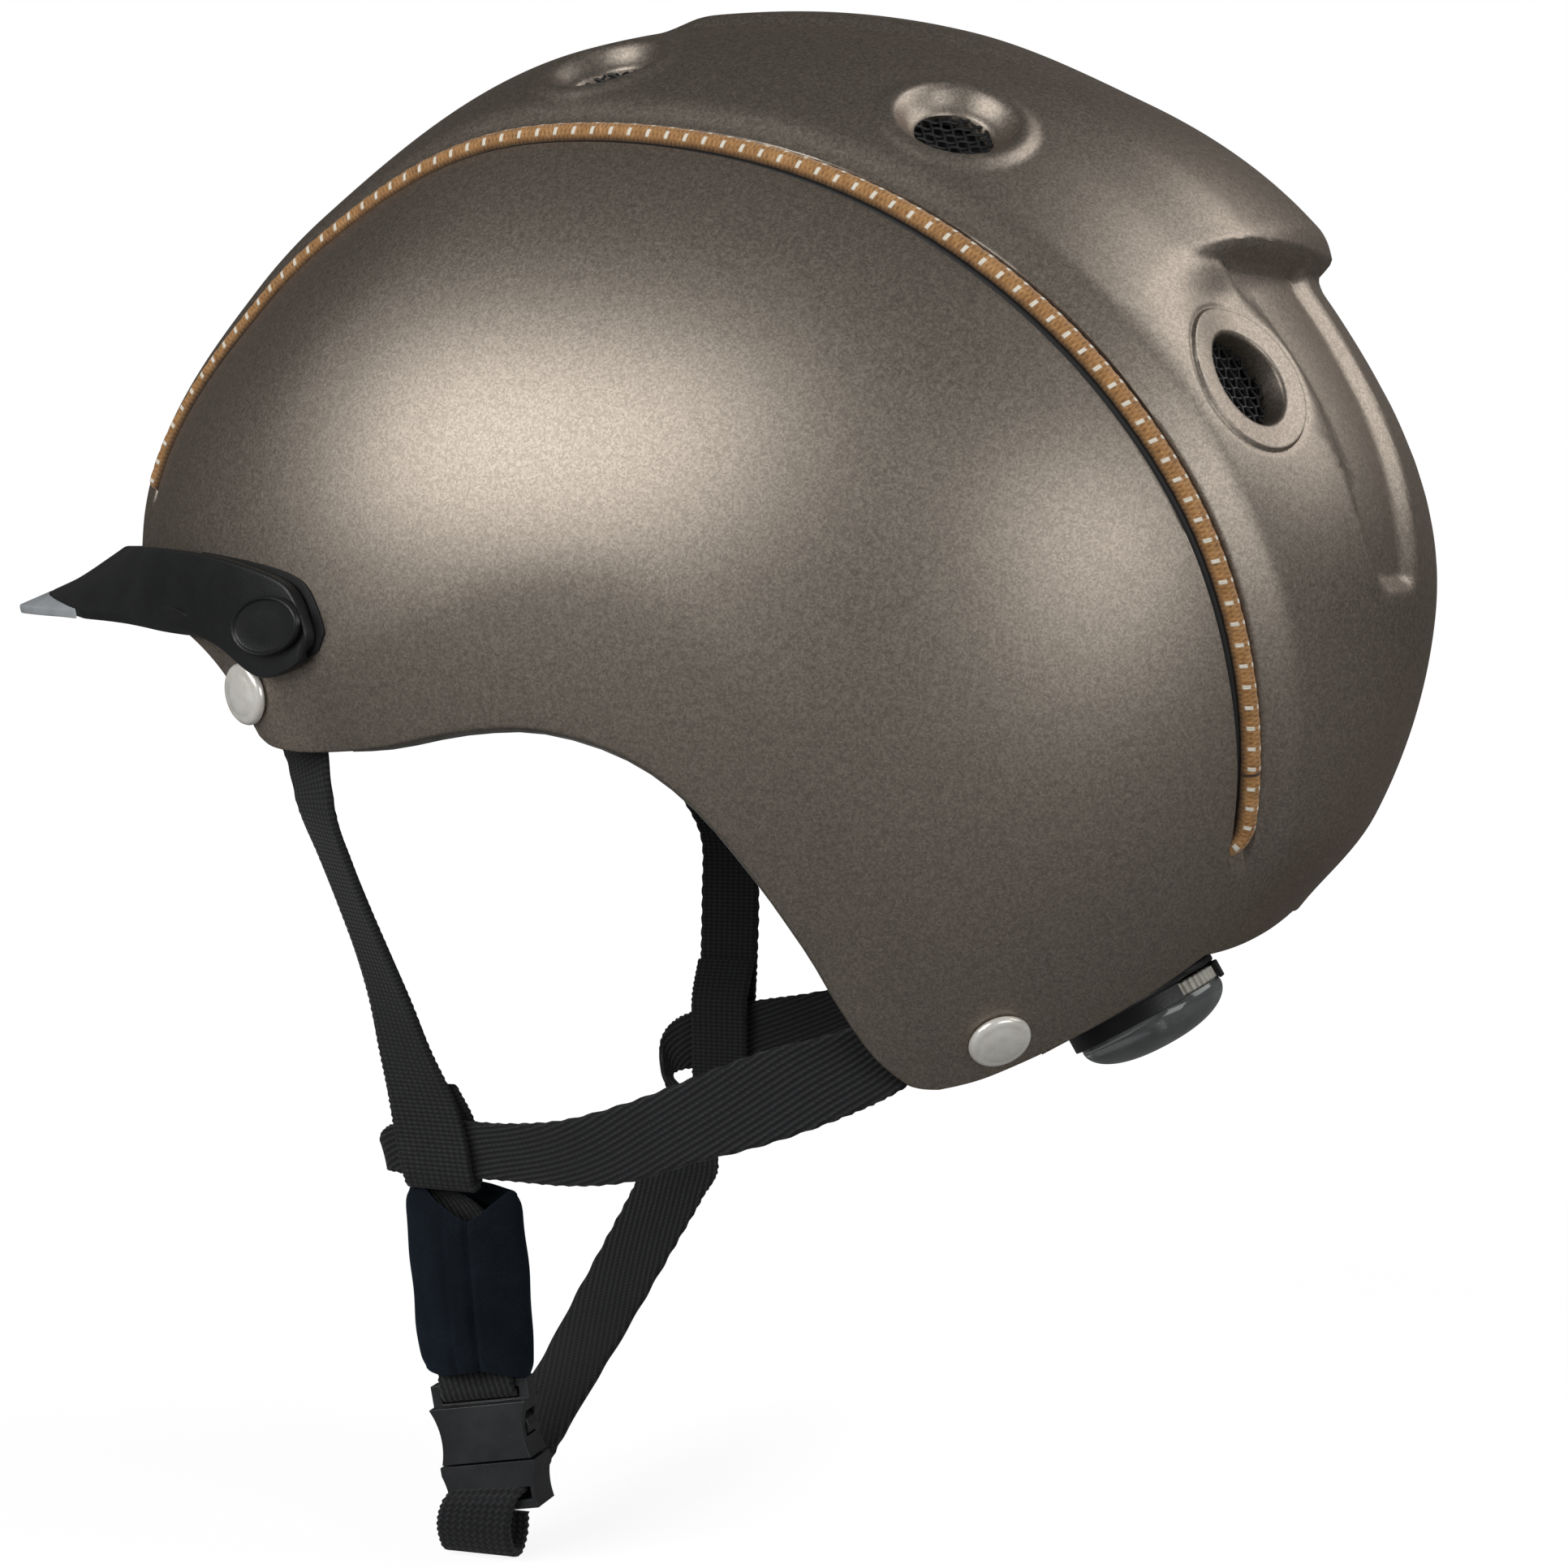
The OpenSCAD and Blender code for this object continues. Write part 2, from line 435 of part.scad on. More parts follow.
// Rivets: domed cap, post and inner washer
module rivet_caps() {
    color("#b9b6ae") both_sides() for (r = RIVETS) on_skin(r) rotate_extrude($fn = 64) polygon(
        concat([[0, 0.1], [rivet_r, 0.1]], [for (t = [0:10:90]) [rivet_r - 1.2 + 1.2 * cos(t) - 1.4 * t / 90, 0.9 + 1.1 * sin(t)]],
               [[0, 2.6]]));
}
washer_top = -shell_wall - web_thick - 2 * seat_gap - FLATS - 1;
module rivet_posts() {
    color("#a8a59e") both_sides() for (r = RIVETS) on_skin(r) translate([0, 0, washer_top - 1.4])
        cylinder(r = post_r, h = 1.5 - washer_top, $fn = 32);
}
module rivet_washers() {
    color("#a8a59e") both_sides() for (r = RIVETS) on_skin(r) translate([0, 0, washer_top - 1]) difference() {
        cylinder(r = rivet_r - 0.5, h = 1, $fn = 48);
        translate([0, 0, -1]) cylinder(r = post_r + MESH, h = 3, $fn = 32);
    }
}

// Riveted end of a strap, flat against the shell: its edge points, given the turn of the strap
function skin_point(spot, turn, x, y, z) =
    let (p = skin(spot[0], spot[1]), n = skin_out(spot[0], spot[1]), s = unit(cross([0, 0, 1], n)), t = cross(n, s))
    p + s * (x * cos(turn) - y * sin(turn)) + t * (x * sin(turn) + y * cos(turn)) + n * z;
strap_depth = -shell_wall - seat_gap - FLATS - web_thick / 2;
SKIRT_DEEP = [2, 2.2];
function strap_root(i, side) =
    [for (y = [rivet_r, 0, -10]) skin_point(RIVETS[i], STRAP_TURN[i], side * web_width / 2, y,
                                            strap_depth - (y < 0 ? SKIRT_DEEP[i] : 0))];
module riveted(i) {
    difference() {
        children();
        on_skin(RIVETS[i]) translate([0, 0, -12]) cylinder(r = post_r + MESH, h = 20, $fn = 32);
    }
}
// Near front strap: front and rear edge, down to its sewn loop
FRONT_LEFT_A = [[78.5, -72, 5], [76, -69, -4.5], [74, -66, -14], [71.5, -63.6, -23.5], [69.5, -61.8, -33],
                [68, -60.6, -43], [67.2, -59.2, -52], [66.8, -58, -60], [66.4, -56.5, -68]];
FRONT_LEFT_B = [[86, -61.2, 5], [84, -59, -4.5], [81.5, -56.2, -14], [78.5, -53.3, -23.5], [75, -50.6, -33],
                [71.5, -48, -43], [68.2, -45, -52], [67, -42.8, -60], [66.6, -41.5, -68.2]];
LOOP_A = [[64, -56.5, -70.7], [61.6, -56.6, -68], [61.3, -57.8, -59], [65.2, -59, -50.5]];
LOOP_B = [[64, -41.5, -71], [61.6, -41.6, -68], [61.3, -43, -59], [66, -45, -50.5]];
module front_strap_left() {
    color("#26272a") riveted(0) webbing(concat(strap_root(0, -1), FRONT_LEFT_A, LOOP_A),
                                        concat(strap_root(0, 1), FRONT_LEFT_B, LOOP_B), 2);
}
FRONT_RIGHT_A = [[-81, -59.5, 3], [-78.5, -51, -5], [-75, -44, -15], [-72.5, -42.8, -28], [-69.5, -42, -41],
                 [-68, -41.7, -52], [-67.5, -41.5, -62], [-67, -41.5, -69]];
FRONT_RIGHT_B = [[-86.5, -46, 8], [-82, -37, -3], [-77.5, -31, -15], [-73.5, -29, -28], [-69.5, -28, -41],
                 [-68, -28, -52], [-67.5, -28, -62], [-67, -28, -69]];
LOOP_RIGHT_A = [[-64.6, -41.5, -72], [-62, -41.5, -69.5], [-61.6, -41.5, -60], [-62, -41.6, -51], [-67, -41.8, -43]];
LOOP_RIGHT_B = [[-64.6, -28, -72], [-62, -28, -69.5], [-61.6, -28, -60], [-62, -28, -51], [-67, -28, -43]];
module front_strap_right() {
    root_a = [for (p = strap_root(0, -1)) flip(p)];
    root_b = [for (p = strap_root(0, 1)) flip(p)];
    color("#26272a") mirror([1, 0, 0]) riveted(0) mirror([1, 0, 0])
        webbing(concat(root_a, FRONT_RIGHT_A, LOOP_RIGHT_A), concat(root_b, FRONT_RIGHT_B, LOOP_RIGHT_B), 2);
}
// Near rear strap: upper and lower edge, through the loop, folded, and down into the buckle
REAR_LEFT_T = [[75, 35, -34.5], [76, 22, -38.2], [75, 8, -44], [72.5, -6, -50], [69.5, -21, -55],
               [65.8, -34, -57.2], [64.6, -46, -57.5], [63.6, -58, -58.5], [61, -63.5, -62], [58.8, -61, -66.5],
               [60.4, -54, -71.5], [60.6, -52.9, -79], [60.4, -52.3, -88], [60, -51.8, -97]];
REAR_LEFT_B = [[69, 46, -45.8], [74, 36.5, -50.5], [75.5, 22.5, -56], [74, 7, -61], [71, -7, -66], [66.8, -21, -68.5],
               [64.8, -35, -68.8], [64.6, -48, -68.8], [63.2, -59, -68.8], [60.3, -60.5, -69.5],
               [60, -46, -73.5], [60.6, -38.6, -79.5], [60.4, -37.4, -88], [60, -36.6, -97]];
// The strap's end round the buckle's bar, in the buckle's own frame: places across and up
BAR_WRAP = [[1.3, 15], [2.2, 10.8], [2.75, 7.2], [2.45, 5.3], [0, 4.75], [-2.45, 5.3], [-2.75, 7.2], [-2.6, 8.6]];
module rear_strap_left() {
    color("#26272a") riveted(1) webbing(
        concat(strap_root(1, -1), REAR_LEFT_T, [for (p = BAR_WRAP) from_buckle([p[0], -web_width / 2, p[1]])]),
        concat(strap_root(1, 1), REAR_LEFT_B, [for (p = BAR_WRAP) from_buckle([p[0], web_width / 2, p[1]])]), 2);
}
// Far rear strap, folded at the far loop, and on across the chin to the buckle's plug
REAR_RIGHT_T = [[-75, 35, -34.5], [-75.5, 20, -40], [-72, 4, -45], [-67, -12, -49], [-64.5, -24, -51],
                [-64.4, -35, -53], [-63.6, -45, -56], [-61.3, -49, -61], [-59.4, -48, -68], [-57, -46, -76],
                [-52, -48, -84.5], [-44, -49.6, -93], [-32, -51.4, -102], [-17, -52, -110], [0, -51.5, -117],
                [20, -50, -123], [38, -50, -129], [50, -50, -134]];
REAR_RIGHT_B = [[-69, 46, -45.8], [-74, 34, -52], [-72, 18, -57], [-68, 3, -61], [-65, -10, -64],
                [-64.4, -23, -66], [-64.4, -34, -67.5], [-63.8, -44.2, -68.5], [-60.8, -46, -70.5], [-58, -38, -75],
                [-51.5, -31.5, -87.5], [-43, -32.5, -94], [-31, -34.5, -102], [-16, -35.5, -109.5], [1, -35.5, -116],
                [21, -35, -122], [39, -34.5, -128], [51, -34.5, -133]];
module rear_strap_right() {
    root_t = [for (p = strap_root(1, -1)) flip(p)];
    root_b = [for (p = strap_root(1, 1)) flip(p)];
    color("#26272a") mirror([1, 0, 0]) riveted(1) mirror([1, 0, 0])
        webbing(concat(root_t, REAR_RIGHT_T), concat(root_b, REAR_RIGHT_B), 2);
}

// Chin sleeve: a padded tube round the two straps above the buckle
SLEEVE_LEVELS = [-72.3, -76, -84, -92, -100, -105.5, -108.2];
SLEEVE_HALF = [[6.8, 12.2], [7.6, 12.7], [8, 12.9], [8, 12.9], [7.6, 12.7], [7.2, 12.5], [6.8, 12.2]];
SLEEVE_WALL = 2;
SLEEVE_SIDES = 20;
function sleeve_mid(z) = [60.3 + (z + 90) * 0.05, -44.9 - (z + 90) * 0.06, z];
function sleeve_ring(i, wall) = [for (k = [0:SLEEVE_SIDES - 1]) let (w = 360 * k / SLEEVE_SIDES, z = SLEEVE_LEVELS[i])
    sleeve_mid(z) + [(SLEEVE_HALF[i][0] - wall) * cos(w), (SLEEVE_HALF[i][1] - wall) * sin(w), 0]];
module chin_sleeve() {
    levels = [0:len(SLEEVE_LEVELS) - 1];
    color("#171f2a") loft(concat([for (i = levels) sleeve_ring(i, 0)],
                                 [for (i = levels) sleeve_ring(len(SLEEVE_LEVELS) - 1 - i, SLEEVE_WALL)]), closed = true);
}

// Side-release buckle, in its own frame: X through its face, Y across, Z up along the strap
BUCKLE_AT = [58, -42.4, -118.5];
BUCKLE_TILT = 10;
module at_buckle() { translate(BUCKLE_AT) rotate([BUCKLE_TILT, 0, 0]) children(); }
function from_buckle(p) = BUCKLE_AT + [p.x, p.y * cos(BUCKLE_TILT) - p.z * sin(BUCKLE_TILT),
                                       p.y * sin(BUCKLE_TILT) + p.z * cos(BUCKLE_TILT)];
SOCKET_TOP = 7.6;
NECK_LOW = 3.4;
NECK_THICK = 3.6;
BAR_LOW = 6;
SOCKET_LOW = -8;
PLUG_LOW = -18;
PLUG_TOP = SOCKET_LOW - 0.4;
slot_width = web_width + 1;
cavity = [buckle_thick - 2 * buckle_wall, buckle_width - 6 * buckle_wall + 5, 0];
module buckle_outline(width, low, high, waist) {
    difference() {
        translate([-width / 2, low]) square([width, high - low]);
        for (s = [-1, 1]) translate([s * (width / 2 + 14 - waist), low + (high - low) * 0.3]) circle(r = 14, $fn = 64);
    }
}
module flat_piece(thick) { rotate([90, 0, 90]) translate([0, 0, -thick / 2]) linear_extrude(thick) children(); }
module block(x, y, z0, z1) { translate([-x / 2, -y / 2, z0]) cube([x, y, z1 - z0]); }
module buckle_socket() {
    color("#1b1c1f") at_buckle() difference() {
        flat_piece(buckle_thick) buckle_outline(buckle_width, SOCKET_LOW, SOCKET_TOP, 1.6);
        block(cavity.x, cavity.y, SOCKET_LOW - 1, NECK_LOW - buckle_wall);
        block(cavity.x - 0.6, buckle_width + 2, WINDOW[0], WINDOW[1]);
        block(buckle_thick + 2, slot_width, NECK_LOW + 0.4, BAR_LOW);
        for (s = [-1, 1]) translate([s * (NECK_THICK + buckle_thick) / 2, 0, 0])
            block(buckle_thick, buckle_width + 2, NECK_LOW, SOCKET_TOP + 1);
    }
}
WINDOW = [-4, 1];
PRONG_PIVOT = [0, cavity.y / 2 - 2, PLUG_TOP - 1.6];
PRONG_THICK = cavity.x - 1.2;
PIN_R = 1.4;
module buckle_plug() {
    color("#1b1c1f") at_buckle() difference() {
        union() {
            flat_piece(buckle_thick) buckle_outline(buckle_width - 0.6, PLUG_LOW, PLUG_TOP, 0.9);
            block(PRONG_THICK, 3, PLUG_TOP - 1, NECK_LOW - buckle_wall - 0.6);
        }
        block(buckle_thick + 2, slot_width, PLUG_LOW + 1.8, PLUG_LOW + 4.4);
        for (s = [-1, 1]) {
            translate([0, s * PRONG_PIVOT.y, PRONG_PIVOT.z]) rotate([0, 90, 0])
                cylinder(r = PIN_R + MESH, h = PRONG_THICK + 0.6, center = true, $fn = 32);
            translate([-PRONG_THICK / 2 - 0.3, s * PRONG_PIVOT.y - 1.6, PRONG_PIVOT.z])
                cube([PRONG_THICK + 0.6, 3.2, 4]);
        }
    }
}
module prong(s) {
    reach = buckle_width / 2;
    color("#222327") at_buckle() mirror([0, s < 0 ? 1 : 0, 0]) {
        translate([0, PRONG_PIVOT.y, PRONG_PIVOT.z]) rotate([0, 90, 0])
            cylinder(r = PIN_R, h = PRONG_THICK, center = true, $fn = 32);
        flat_piece(PRONG_THICK) polygon([
            [PRONG_PIVOT.y - 0.7, PRONG_PIVOT.z], [PRONG_PIVOT.y + 0.7, PRONG_PIVOT.z],
            [PRONG_PIVOT.y + 0.9, WINDOW[0] + 0.4], [reach - 1.3, WINDOW[0] + 0.5], [reach - 0.9, -2], [reach - 1.3, -0.6],
            [PRONG_PIVOT.y + 0.6, 0.6], [PRONG_PIVOT.y - 0.5, 1.4], [PRONG_PIVOT.y - 1, 1.1], [PRONG_PIVOT.y - 0.8, -1]]);
    }
}
module buckle_prong_front() { prong(-1); }
module buckle_prong_rear() { prong(1); }
// Free end of the chin strap, looped back under the plug
TAIL_PATH = [[63.4, -131.5], [63.5, -136], [63, -140.5], [60.6, -144.6], [57, -145.4], [54.2, -142.5], [53.6, -138.5]];
module adjuster_tail() {
    edge = function(y, skew) [for (i = [0:len(TAIL_PATH) - 1]) [TAIL_PATH[i][0], y + skew * i / 6, TAIL_PATH[i][1]]];
    color("#26272a") webbing(edge(-51.5, -2.5), edge(-36.5, -2.5), 3);
}

// Comfort pads on the foam
PAD_GAP = seat_gap + FLATS + 0.5;
// Crowned pad over part of the net, from column u0 to u1 and row v0 to v1, with a number of sewn channels
module pad(u0, u1, v0, v1, channels, nu = 14, nv = 12) {
    crown = function(s) pow(max(0, 1 - pow(abs(2 * s - 1), 3.5)), 0.5);
    sewn = function(s) channels == 0 ? 1 : 1 - 0.35 * pow(abs(cos(180 * s * (channels + 1))), 8) * (s > 0.08 && s < 0.92 ? 1 : 0);
    row_point = function(v) v <= 2 ? [v, 1] : [4 - v, -1];
    put = function(u, v, off) let (r = row_point(v), p = foam_in(u, r[0], off)) r[1] > 0 ? p : flip(p);
    outer_face = [for (i = [0:nu]) [for (j = [0:nv]) put(mix(u0, u1, i / nu), mix(v0, v1, j / nv), PAD_GAP)]];
    inner_face = [for (i = [0:nu]) [for (j = [0:nv])
        put(mix(u0, u1, i / nu), mix(v0, v1, j / nv),
            PAD_GAP + 1.2 + (pad_thick - 1.2) * crown(i / nu) * crown(j / nv) * sewn(j / nv))]];
    plate(outer_face, inner_face);
}
module brow_pad() { color("#3a3b3f") pad(0.45, 1.25, 0.95, 3.05, 3, 8, 24); }
module crown_pad() { color("#3a3b3f") pad(4, 7, 1.7, 2.3, 1, 14, 10); }
module side_pad() { pad(3, 6.2, 0.62, 0.98, 1, 14, 10); }
module side_pad_left() { color("#3a3b3f") side_pad(); }
module side_pad_right() { color("#3a3b3f") mirror([1, 0, 0]) side_pad(); }

// Places on the foam's inner face: local Z points into the foam
module on_foam(spot) {
    p = foam_in(spot[0], spot[1]);
    across_u = foam_in(spot[0] + 0.05, spot[1]) - foam_in(spot[0] - 0.05, spot[1]);
    along_v = foam_in(spot[0], spot[1] + 0.02) - foam_in(spot[0], spot[1] - 0.02);
    raw = unit(cross(across_u, along_v));
    n = raw * sign(raw * (p - centre));
    s = unit(across_u - n * (across_u * n));
    t = cross(n, s);
    multmatrix([[s.x, t.x, n.x, p.x], [s.y, t.y, n.y, p.y], [s.z, t.z, n.z, p.z], [0, 0, 0, 1]]) children();
}
// Route of a band on the foam, as column, row and distance off the foam, and its last stretch on either side
BAND_ROUTE = [[0.7, 0.24, 2.3], [1.4, 0.15, 2], [2.4, 0.11, 1.6], [3.4, 0.1, 1.2], [4.4, 0.1, 1.2], [5.4, 0.1, 1.2],
              [6.4, 0.11, 1.2], [7.4, 0.13, 1.2], [8.4, 0.17, 1.2], [9.2, 0.22, 1.2]];
BAND_LAST = [[[9.9, 0.27, 4.6], [10.4, 0.34, 9.4]], [[9.8, 0.36, 4.2], [10.25, 0.56, 7.4], [10.55, 0.78, 10.6]]];
BAND_THICK = 1.6;
SNAPS = [[1.1, 0.185], [10.25, 1.7]];
snap_r = 2.5;

// Frame of the dial: local Z points down and back out of the nape, X to the left, Y down and forward
DIAL_AT = [0, 77.5, -37];
DIAL_TILT = 210;
module at_dial() { translate(DIAL_AT) rotate([DIAL_TILT, 0, 0]) children(); }
function from_dial(p) = DIAL_AT + [p.x, p.y * cos(DIAL_TILT) - p.z * sin(DIAL_TILT), p.y * sin(DIAL_TILT) + p.z * cos(DIAL_TILT)];
pinion_r = pinion_teeth * tooth_pitch / (2 * PI);
ADDENDUM = 0.8;
RACK_THICK = 3;
RACK_LOW = pinion_r + ADDENDUM + seat_gap;
RACK_HIGH = RACK_LOW + 3.9;
RACK_IN = -8;
BOX_HALF = 27;
BOX_WALL = 1.6;
BOX_Y = RACK_HIGH + 1.4;
BOX_TOP = -0.3;
BOX_DEEP = RACK_THICK + 1 + 2 * BOX_WALL;
RACK_LEVEL = BOX_TOP - BOX_DEEP + BOX_WALL + 0.5;
SLEEVE_IN = BOX_HALF + 1.5;
RACK_OUT = SLEEVE_IN + rack_travel + 2.5;
SLEEVE_OUT = RACK_OUT + 2;
SLEEVE_SKIN = 1.2;
RACK_FREE = 0.3;

// One band: on the foam from the temple to the nape, then free to a hollow end that holds the rack
function sleeve_low(s) = s > 0 ? RACK_LOW - RACK_FREE : -RACK_HIGH - RACK_FREE;
module sleeve_block(s, skin, from, to) {
    translate([from, sleeve_low(s) - skin, RACK_LEVEL - RACK_FREE - skin])
        cube([to - from, RACK_HIGH - RACK_LOW + 2 * (RACK_FREE + skin), RACK_THICK + 2 * (RACK_FREE + skin)]);
}
function band_side(u, v) = unit(foam_in(u, v + 0.02) - foam_in(u, v - 0.02));
function band_route(s) = concat(BAND_ROUTE, BAND_LAST[s > 0 ? 0 : 1]);
function band_path(s) = concat(
    [for (r = band_route(s)) foam_in(r[0], r[1], seat_gap + BAND_THICK / 2 + r[2])],
    [from_dial([SLEEVE_OUT + 5, s * (RACK_LOW + 2), RACK_LEVEL]),
     from_dial([SLEEVE_OUT - 0.6, s * (RACK_LOW + RACK_HIGH) / 2, RACK_LEVEL + RACK_THICK / 2])]);
function band_half(s) = let (route = band_route(s), last = from_dial([0, -1, 0]) - DIAL_AT) concat(
    [for (i = [0:len(route) - 1]) band_side(route[i][0], route[i][1]) * ring_band / 2 * (1 - 0.35 * ease(i, 7, 11))],
    [last * 3.2, last * 2.2]);
function tail_of(list, from) = [for (i = [from:len(list) - 1]) list[i]];
// Room round a band's last stretch and its hollow end
POCKET_FROM = 8;
module band_pocket(s) {
    path = tail_of(band_path(s), POCKET_FROM);
    half = tail_of(band_half(s), POCKET_FROM) * 1.2;
    mirror([s > 0 ? 0 : 1, 0, 0]) {
        webbing(path - half, path + half, 3, BAND_THICK + 2);
        at_dial() sleeve_block(s, SLEEVE_SKIN + 0.8, BOX_HALF - 4, SLEEVE_OUT + 4);
    }
}
module ring_band(s) {
    difference() {
        union() {
            webbing(band_path(s) - band_half(s), band_path(s) + band_half(s), 3, BAND_THICK);
            at_dial() sleeve_block(s, SLEEVE_SKIN, SLEEVE_IN, SLEEVE_OUT);
        }
        at_dial() sleeve_block(s, 0, SLEEVE_IN - 1, RACK_OUT + 0.5);
        on_foam(SNAPS[0]) translate([0, 0, -7]) cylinder(r = snap_r + MESH, h = 14, $fn = 32);
    }
}
module ring_band_left() { color("#222327") ring_band(1); }
module ring_band_right() { color("#222327") mirror([1, 0, 0]) ring_band(-1); }
SNAP_REACH = 5.9;
module band_snaps() {
    color("#303136") both_sides() for (s = SNAPS) on_foam(s) {
        translate([0, 0, -SNAP_REACH]) cylinder(r = snap_r, h = SNAP_REACH + 6, $fn = 32);
        translate([0, 0, -SNAP_REACH - 1]) cylinder(r = snap_r + 1.8, h = 1, $fn = 32);
    }
}
// Two arms that carry the cradle from the nape of the foam
YOKE_WIDTH = 9;
YOKE_THICK = 1.8;
YOKE_UP = [[10.05, 1.7, 1.4], [10.3, 1.7, 1.4], [10.6, 1.7, 1.6], [10.85, 1.7, 3]];
module yoke() {
    half = [YOKE_WIDTH / 2, 0, 0];
    on = [for (r = YOKE_UP) foam_in(r[0], r[1], seat_gap + YOKE_THICK / 2 + r[2])];
    level = BOX_TOP - BOX_DEEP - seat_gap - YOKE_THICK / 2;
    path = concat(on, [for (p = [[-14, -5.5], [-11.5, -1], [-7, 0], [2, 0]]) from_dial([on[3].x, p[0], level + p[1]])]);
    color("#1c1d20") difference() {
        both_sides() webbing([for (p = path) p - half], [for (p = path) p + half], 3, YOKE_THICK);
        both_sides() on_foam(SNAPS[1]) translate([0, 0, -7]) cylinder(r = snap_r + MESH, h = 14, $fn = 32);
    }
}
module oval(half_x, half_y) {
    square([2 * (half_x - half_y), 2 * half_y], center = true);
    for (s = [-1, 1]) translate([s * (half_x - half_y), 0]) circle(r = half_y, $fn = 64);
}
module cradle() {
    color("#1c1d20") at_dial() translate([0, 0, BOX_TOP - BOX_DEEP]) difference() {
        linear_extrude(BOX_DEEP - BOX_WALL) oval(BOX_HALF, BOX_Y + BOX_WALL);
        translate([0, 0, BOX_WALL]) linear_extrude(BOX_DEEP) oval(BOX_HALF - BOX_WALL, BOX_Y);
        for (s = [-1, 1]) translate([s > 0 ? 0 : -60, s > 0 ? RACK_LOW - RACK_FREE : -RACK_HIGH - RACK_FREE, BOX_WALL + 0.2])
            cube([60, RACK_HIGH - RACK_LOW + 2 * RACK_FREE, RACK_THICK + 0.6]);
        translate([0, 0, -1]) cylinder(r = screw_r, h = 10, $fn = 32);
    }
}
screw_r = 1.2;
COLLAR_R = 3;
module cradle_cover() {
    color("#1c1d20") at_dial() translate([0, 0, BOX_TOP - BOX_WALL + MESH]) difference() {
        linear_extrude(BOX_WALL - MESH) {
            oval(BOX_HALF, BOX_Y + BOX_WALL);
            circle(r = dial_r + 0.5, $fn = 96);
        }
        translate([0, 0, -1]) cylinder(r = COLLAR_R + MESH, h = 10, $fn = 32);
    }
}
TOOTH_HALF = [0.85, 0.28];
module rack() {
    first = (ceil((RACK_IN + 1) / tooth_pitch - 0.5) + 0.5) * tooth_pitch;
    count = floor((rack_travel + 8 - first) / tooth_pitch) + 1;
    linear_extrude(RACK_THICK) {
        translate([RACK_IN, RACK_LOW]) square([RACK_OUT - RACK_IN, RACK_HIGH - RACK_LOW]);
        for (i = [0:count - 1]) translate([first + i * tooth_pitch, pinion_r]) polygon([
            [-TOOTH_HALF[0], ADDENDUM + 0.5], [-TOOTH_HALF[1], -ADDENDUM], [TOOTH_HALF[1], -ADDENDUM],
            [TOOTH_HALF[0], ADDENDUM + 0.5]]);
    }
}
module rack_left() { color("#303136") at_dial() translate([0, 0, RACK_LEVEL]) rack(); }
module rack_right() { color("#303136") at_dial() translate([0, 0, RACK_LEVEL]) rotate([0, 0, 180]) rack(); }
module pinion() {
    color("#3b3c42") at_dial() translate([0, 0, RACK_LEVEL]) difference() {
        union() {
            cylinder(r = pinion_r - ADDENDUM - seat_gap, h = RACK_THICK, $fn = 48);
            for (i = [0:pinion_teeth - 1]) rotate([0, 0, 90 + 360 * i / pinion_teeth]) linear_extrude(RACK_THICK) polygon([
                [pinion_r - 1.6, -TOOTH_HALF[0]], [pinion_r + ADDENDUM, -TOOTH_HALF[1]],
                [pinion_r + ADDENDUM, TOOTH_HALF[1]], [pinion_r - 1.6, TOOTH_HALF[0]]]);
            cylinder(r = COLLAR_R, h = BOX_TOP - RACK_LEVEL + 0.5, $fn = 32);
        }
        translate([0, 0, -1]) cylinder(r = screw_r + MESH, h = 20, $fn = 32);
    }
}
// Dial: a ribbed ring and a domed cap on the pinion's collar
RIBS = 30;
RIB_DEEP = 0.8;
GRIP_BASE = BOX_TOP + 0.5;
GRIP_HIGH = 2.8;
CAP_DEEP = 7.4;
CAP_SIDE = 1;
module dial_grip() {
    color("#d8d5c8") at_dial() translate([0, 0, GRIP_BASE]) difference() {
        union() {
            cylinder(r = dial_r - RIB_DEEP, h = GRIP_HIGH, $fn = 64);
            for (i = [0:RIBS - 1]) rotate([0, 0, 360 * i / RIBS]) translate([dial_r - 2 * RIB_DEEP, -0.7, 0])
                cube([2 * RIB_DEEP, 1.4, GRIP_HIGH]);
        }
        translate([0, 0, -1]) cylinder(r = screw_r + MESH, h = 20, $fn = 32);
    }
}
module dial_cap() {
    color("#2c3036") at_dial() translate([0, 0, GRIP_BASE + GRIP_HIGH]) difference() {
        rotate_extrude($fn = 64) polygon(concat([[0, 0], [dial_r, 0], [dial_r, CAP_SIDE]],
            [for (t = [10:10:80]) [dial_r * cos(t), CAP_SIDE + (CAP_DEEP - CAP_SIDE) * sin(t)]], [[0, CAP_DEEP]]));
        translate([0, 0, -1]) cylinder(r = screw_r + MESH, h = CAP_DEEP - 1, $fn = 32);
    }
}
module dial_screw() {
    color("#8c8f94") at_dial() translate([0, 0, BOX_TOP - BOX_DEEP - 1.1]) {
        cylinder(r = 2 * screw_r, h = 1.1, $fn = 32);
        cylinder(r = screw_r, h = BOX_DEEP + 5, $fn = 32);
    }
}

outer_shell();
foam_liner();
rim_trim();
piping_left();
piping_right();
visor();
visor_tip();
visor_caps();
visor_studs();
rivet_caps();
rivet_posts();
rivet_washers();
front_strap_left();
front_strap_right();
rear_strap_left();
rear_strap_right();
adjuster_tail();
chin_sleeve();
buckle_socket();
buckle_plug();
buckle_prong_front();
buckle_prong_rear();
brow_pad();
crown_pad();
side_pad_left();
side_pad_right();
ring_band_left();
ring_band_right();
band_snaps();
yoke();
cradle();
cradle_cover();
rack_left();
rack_right();
pinion();
dial_grip();
dial_cap();
dial_screw();
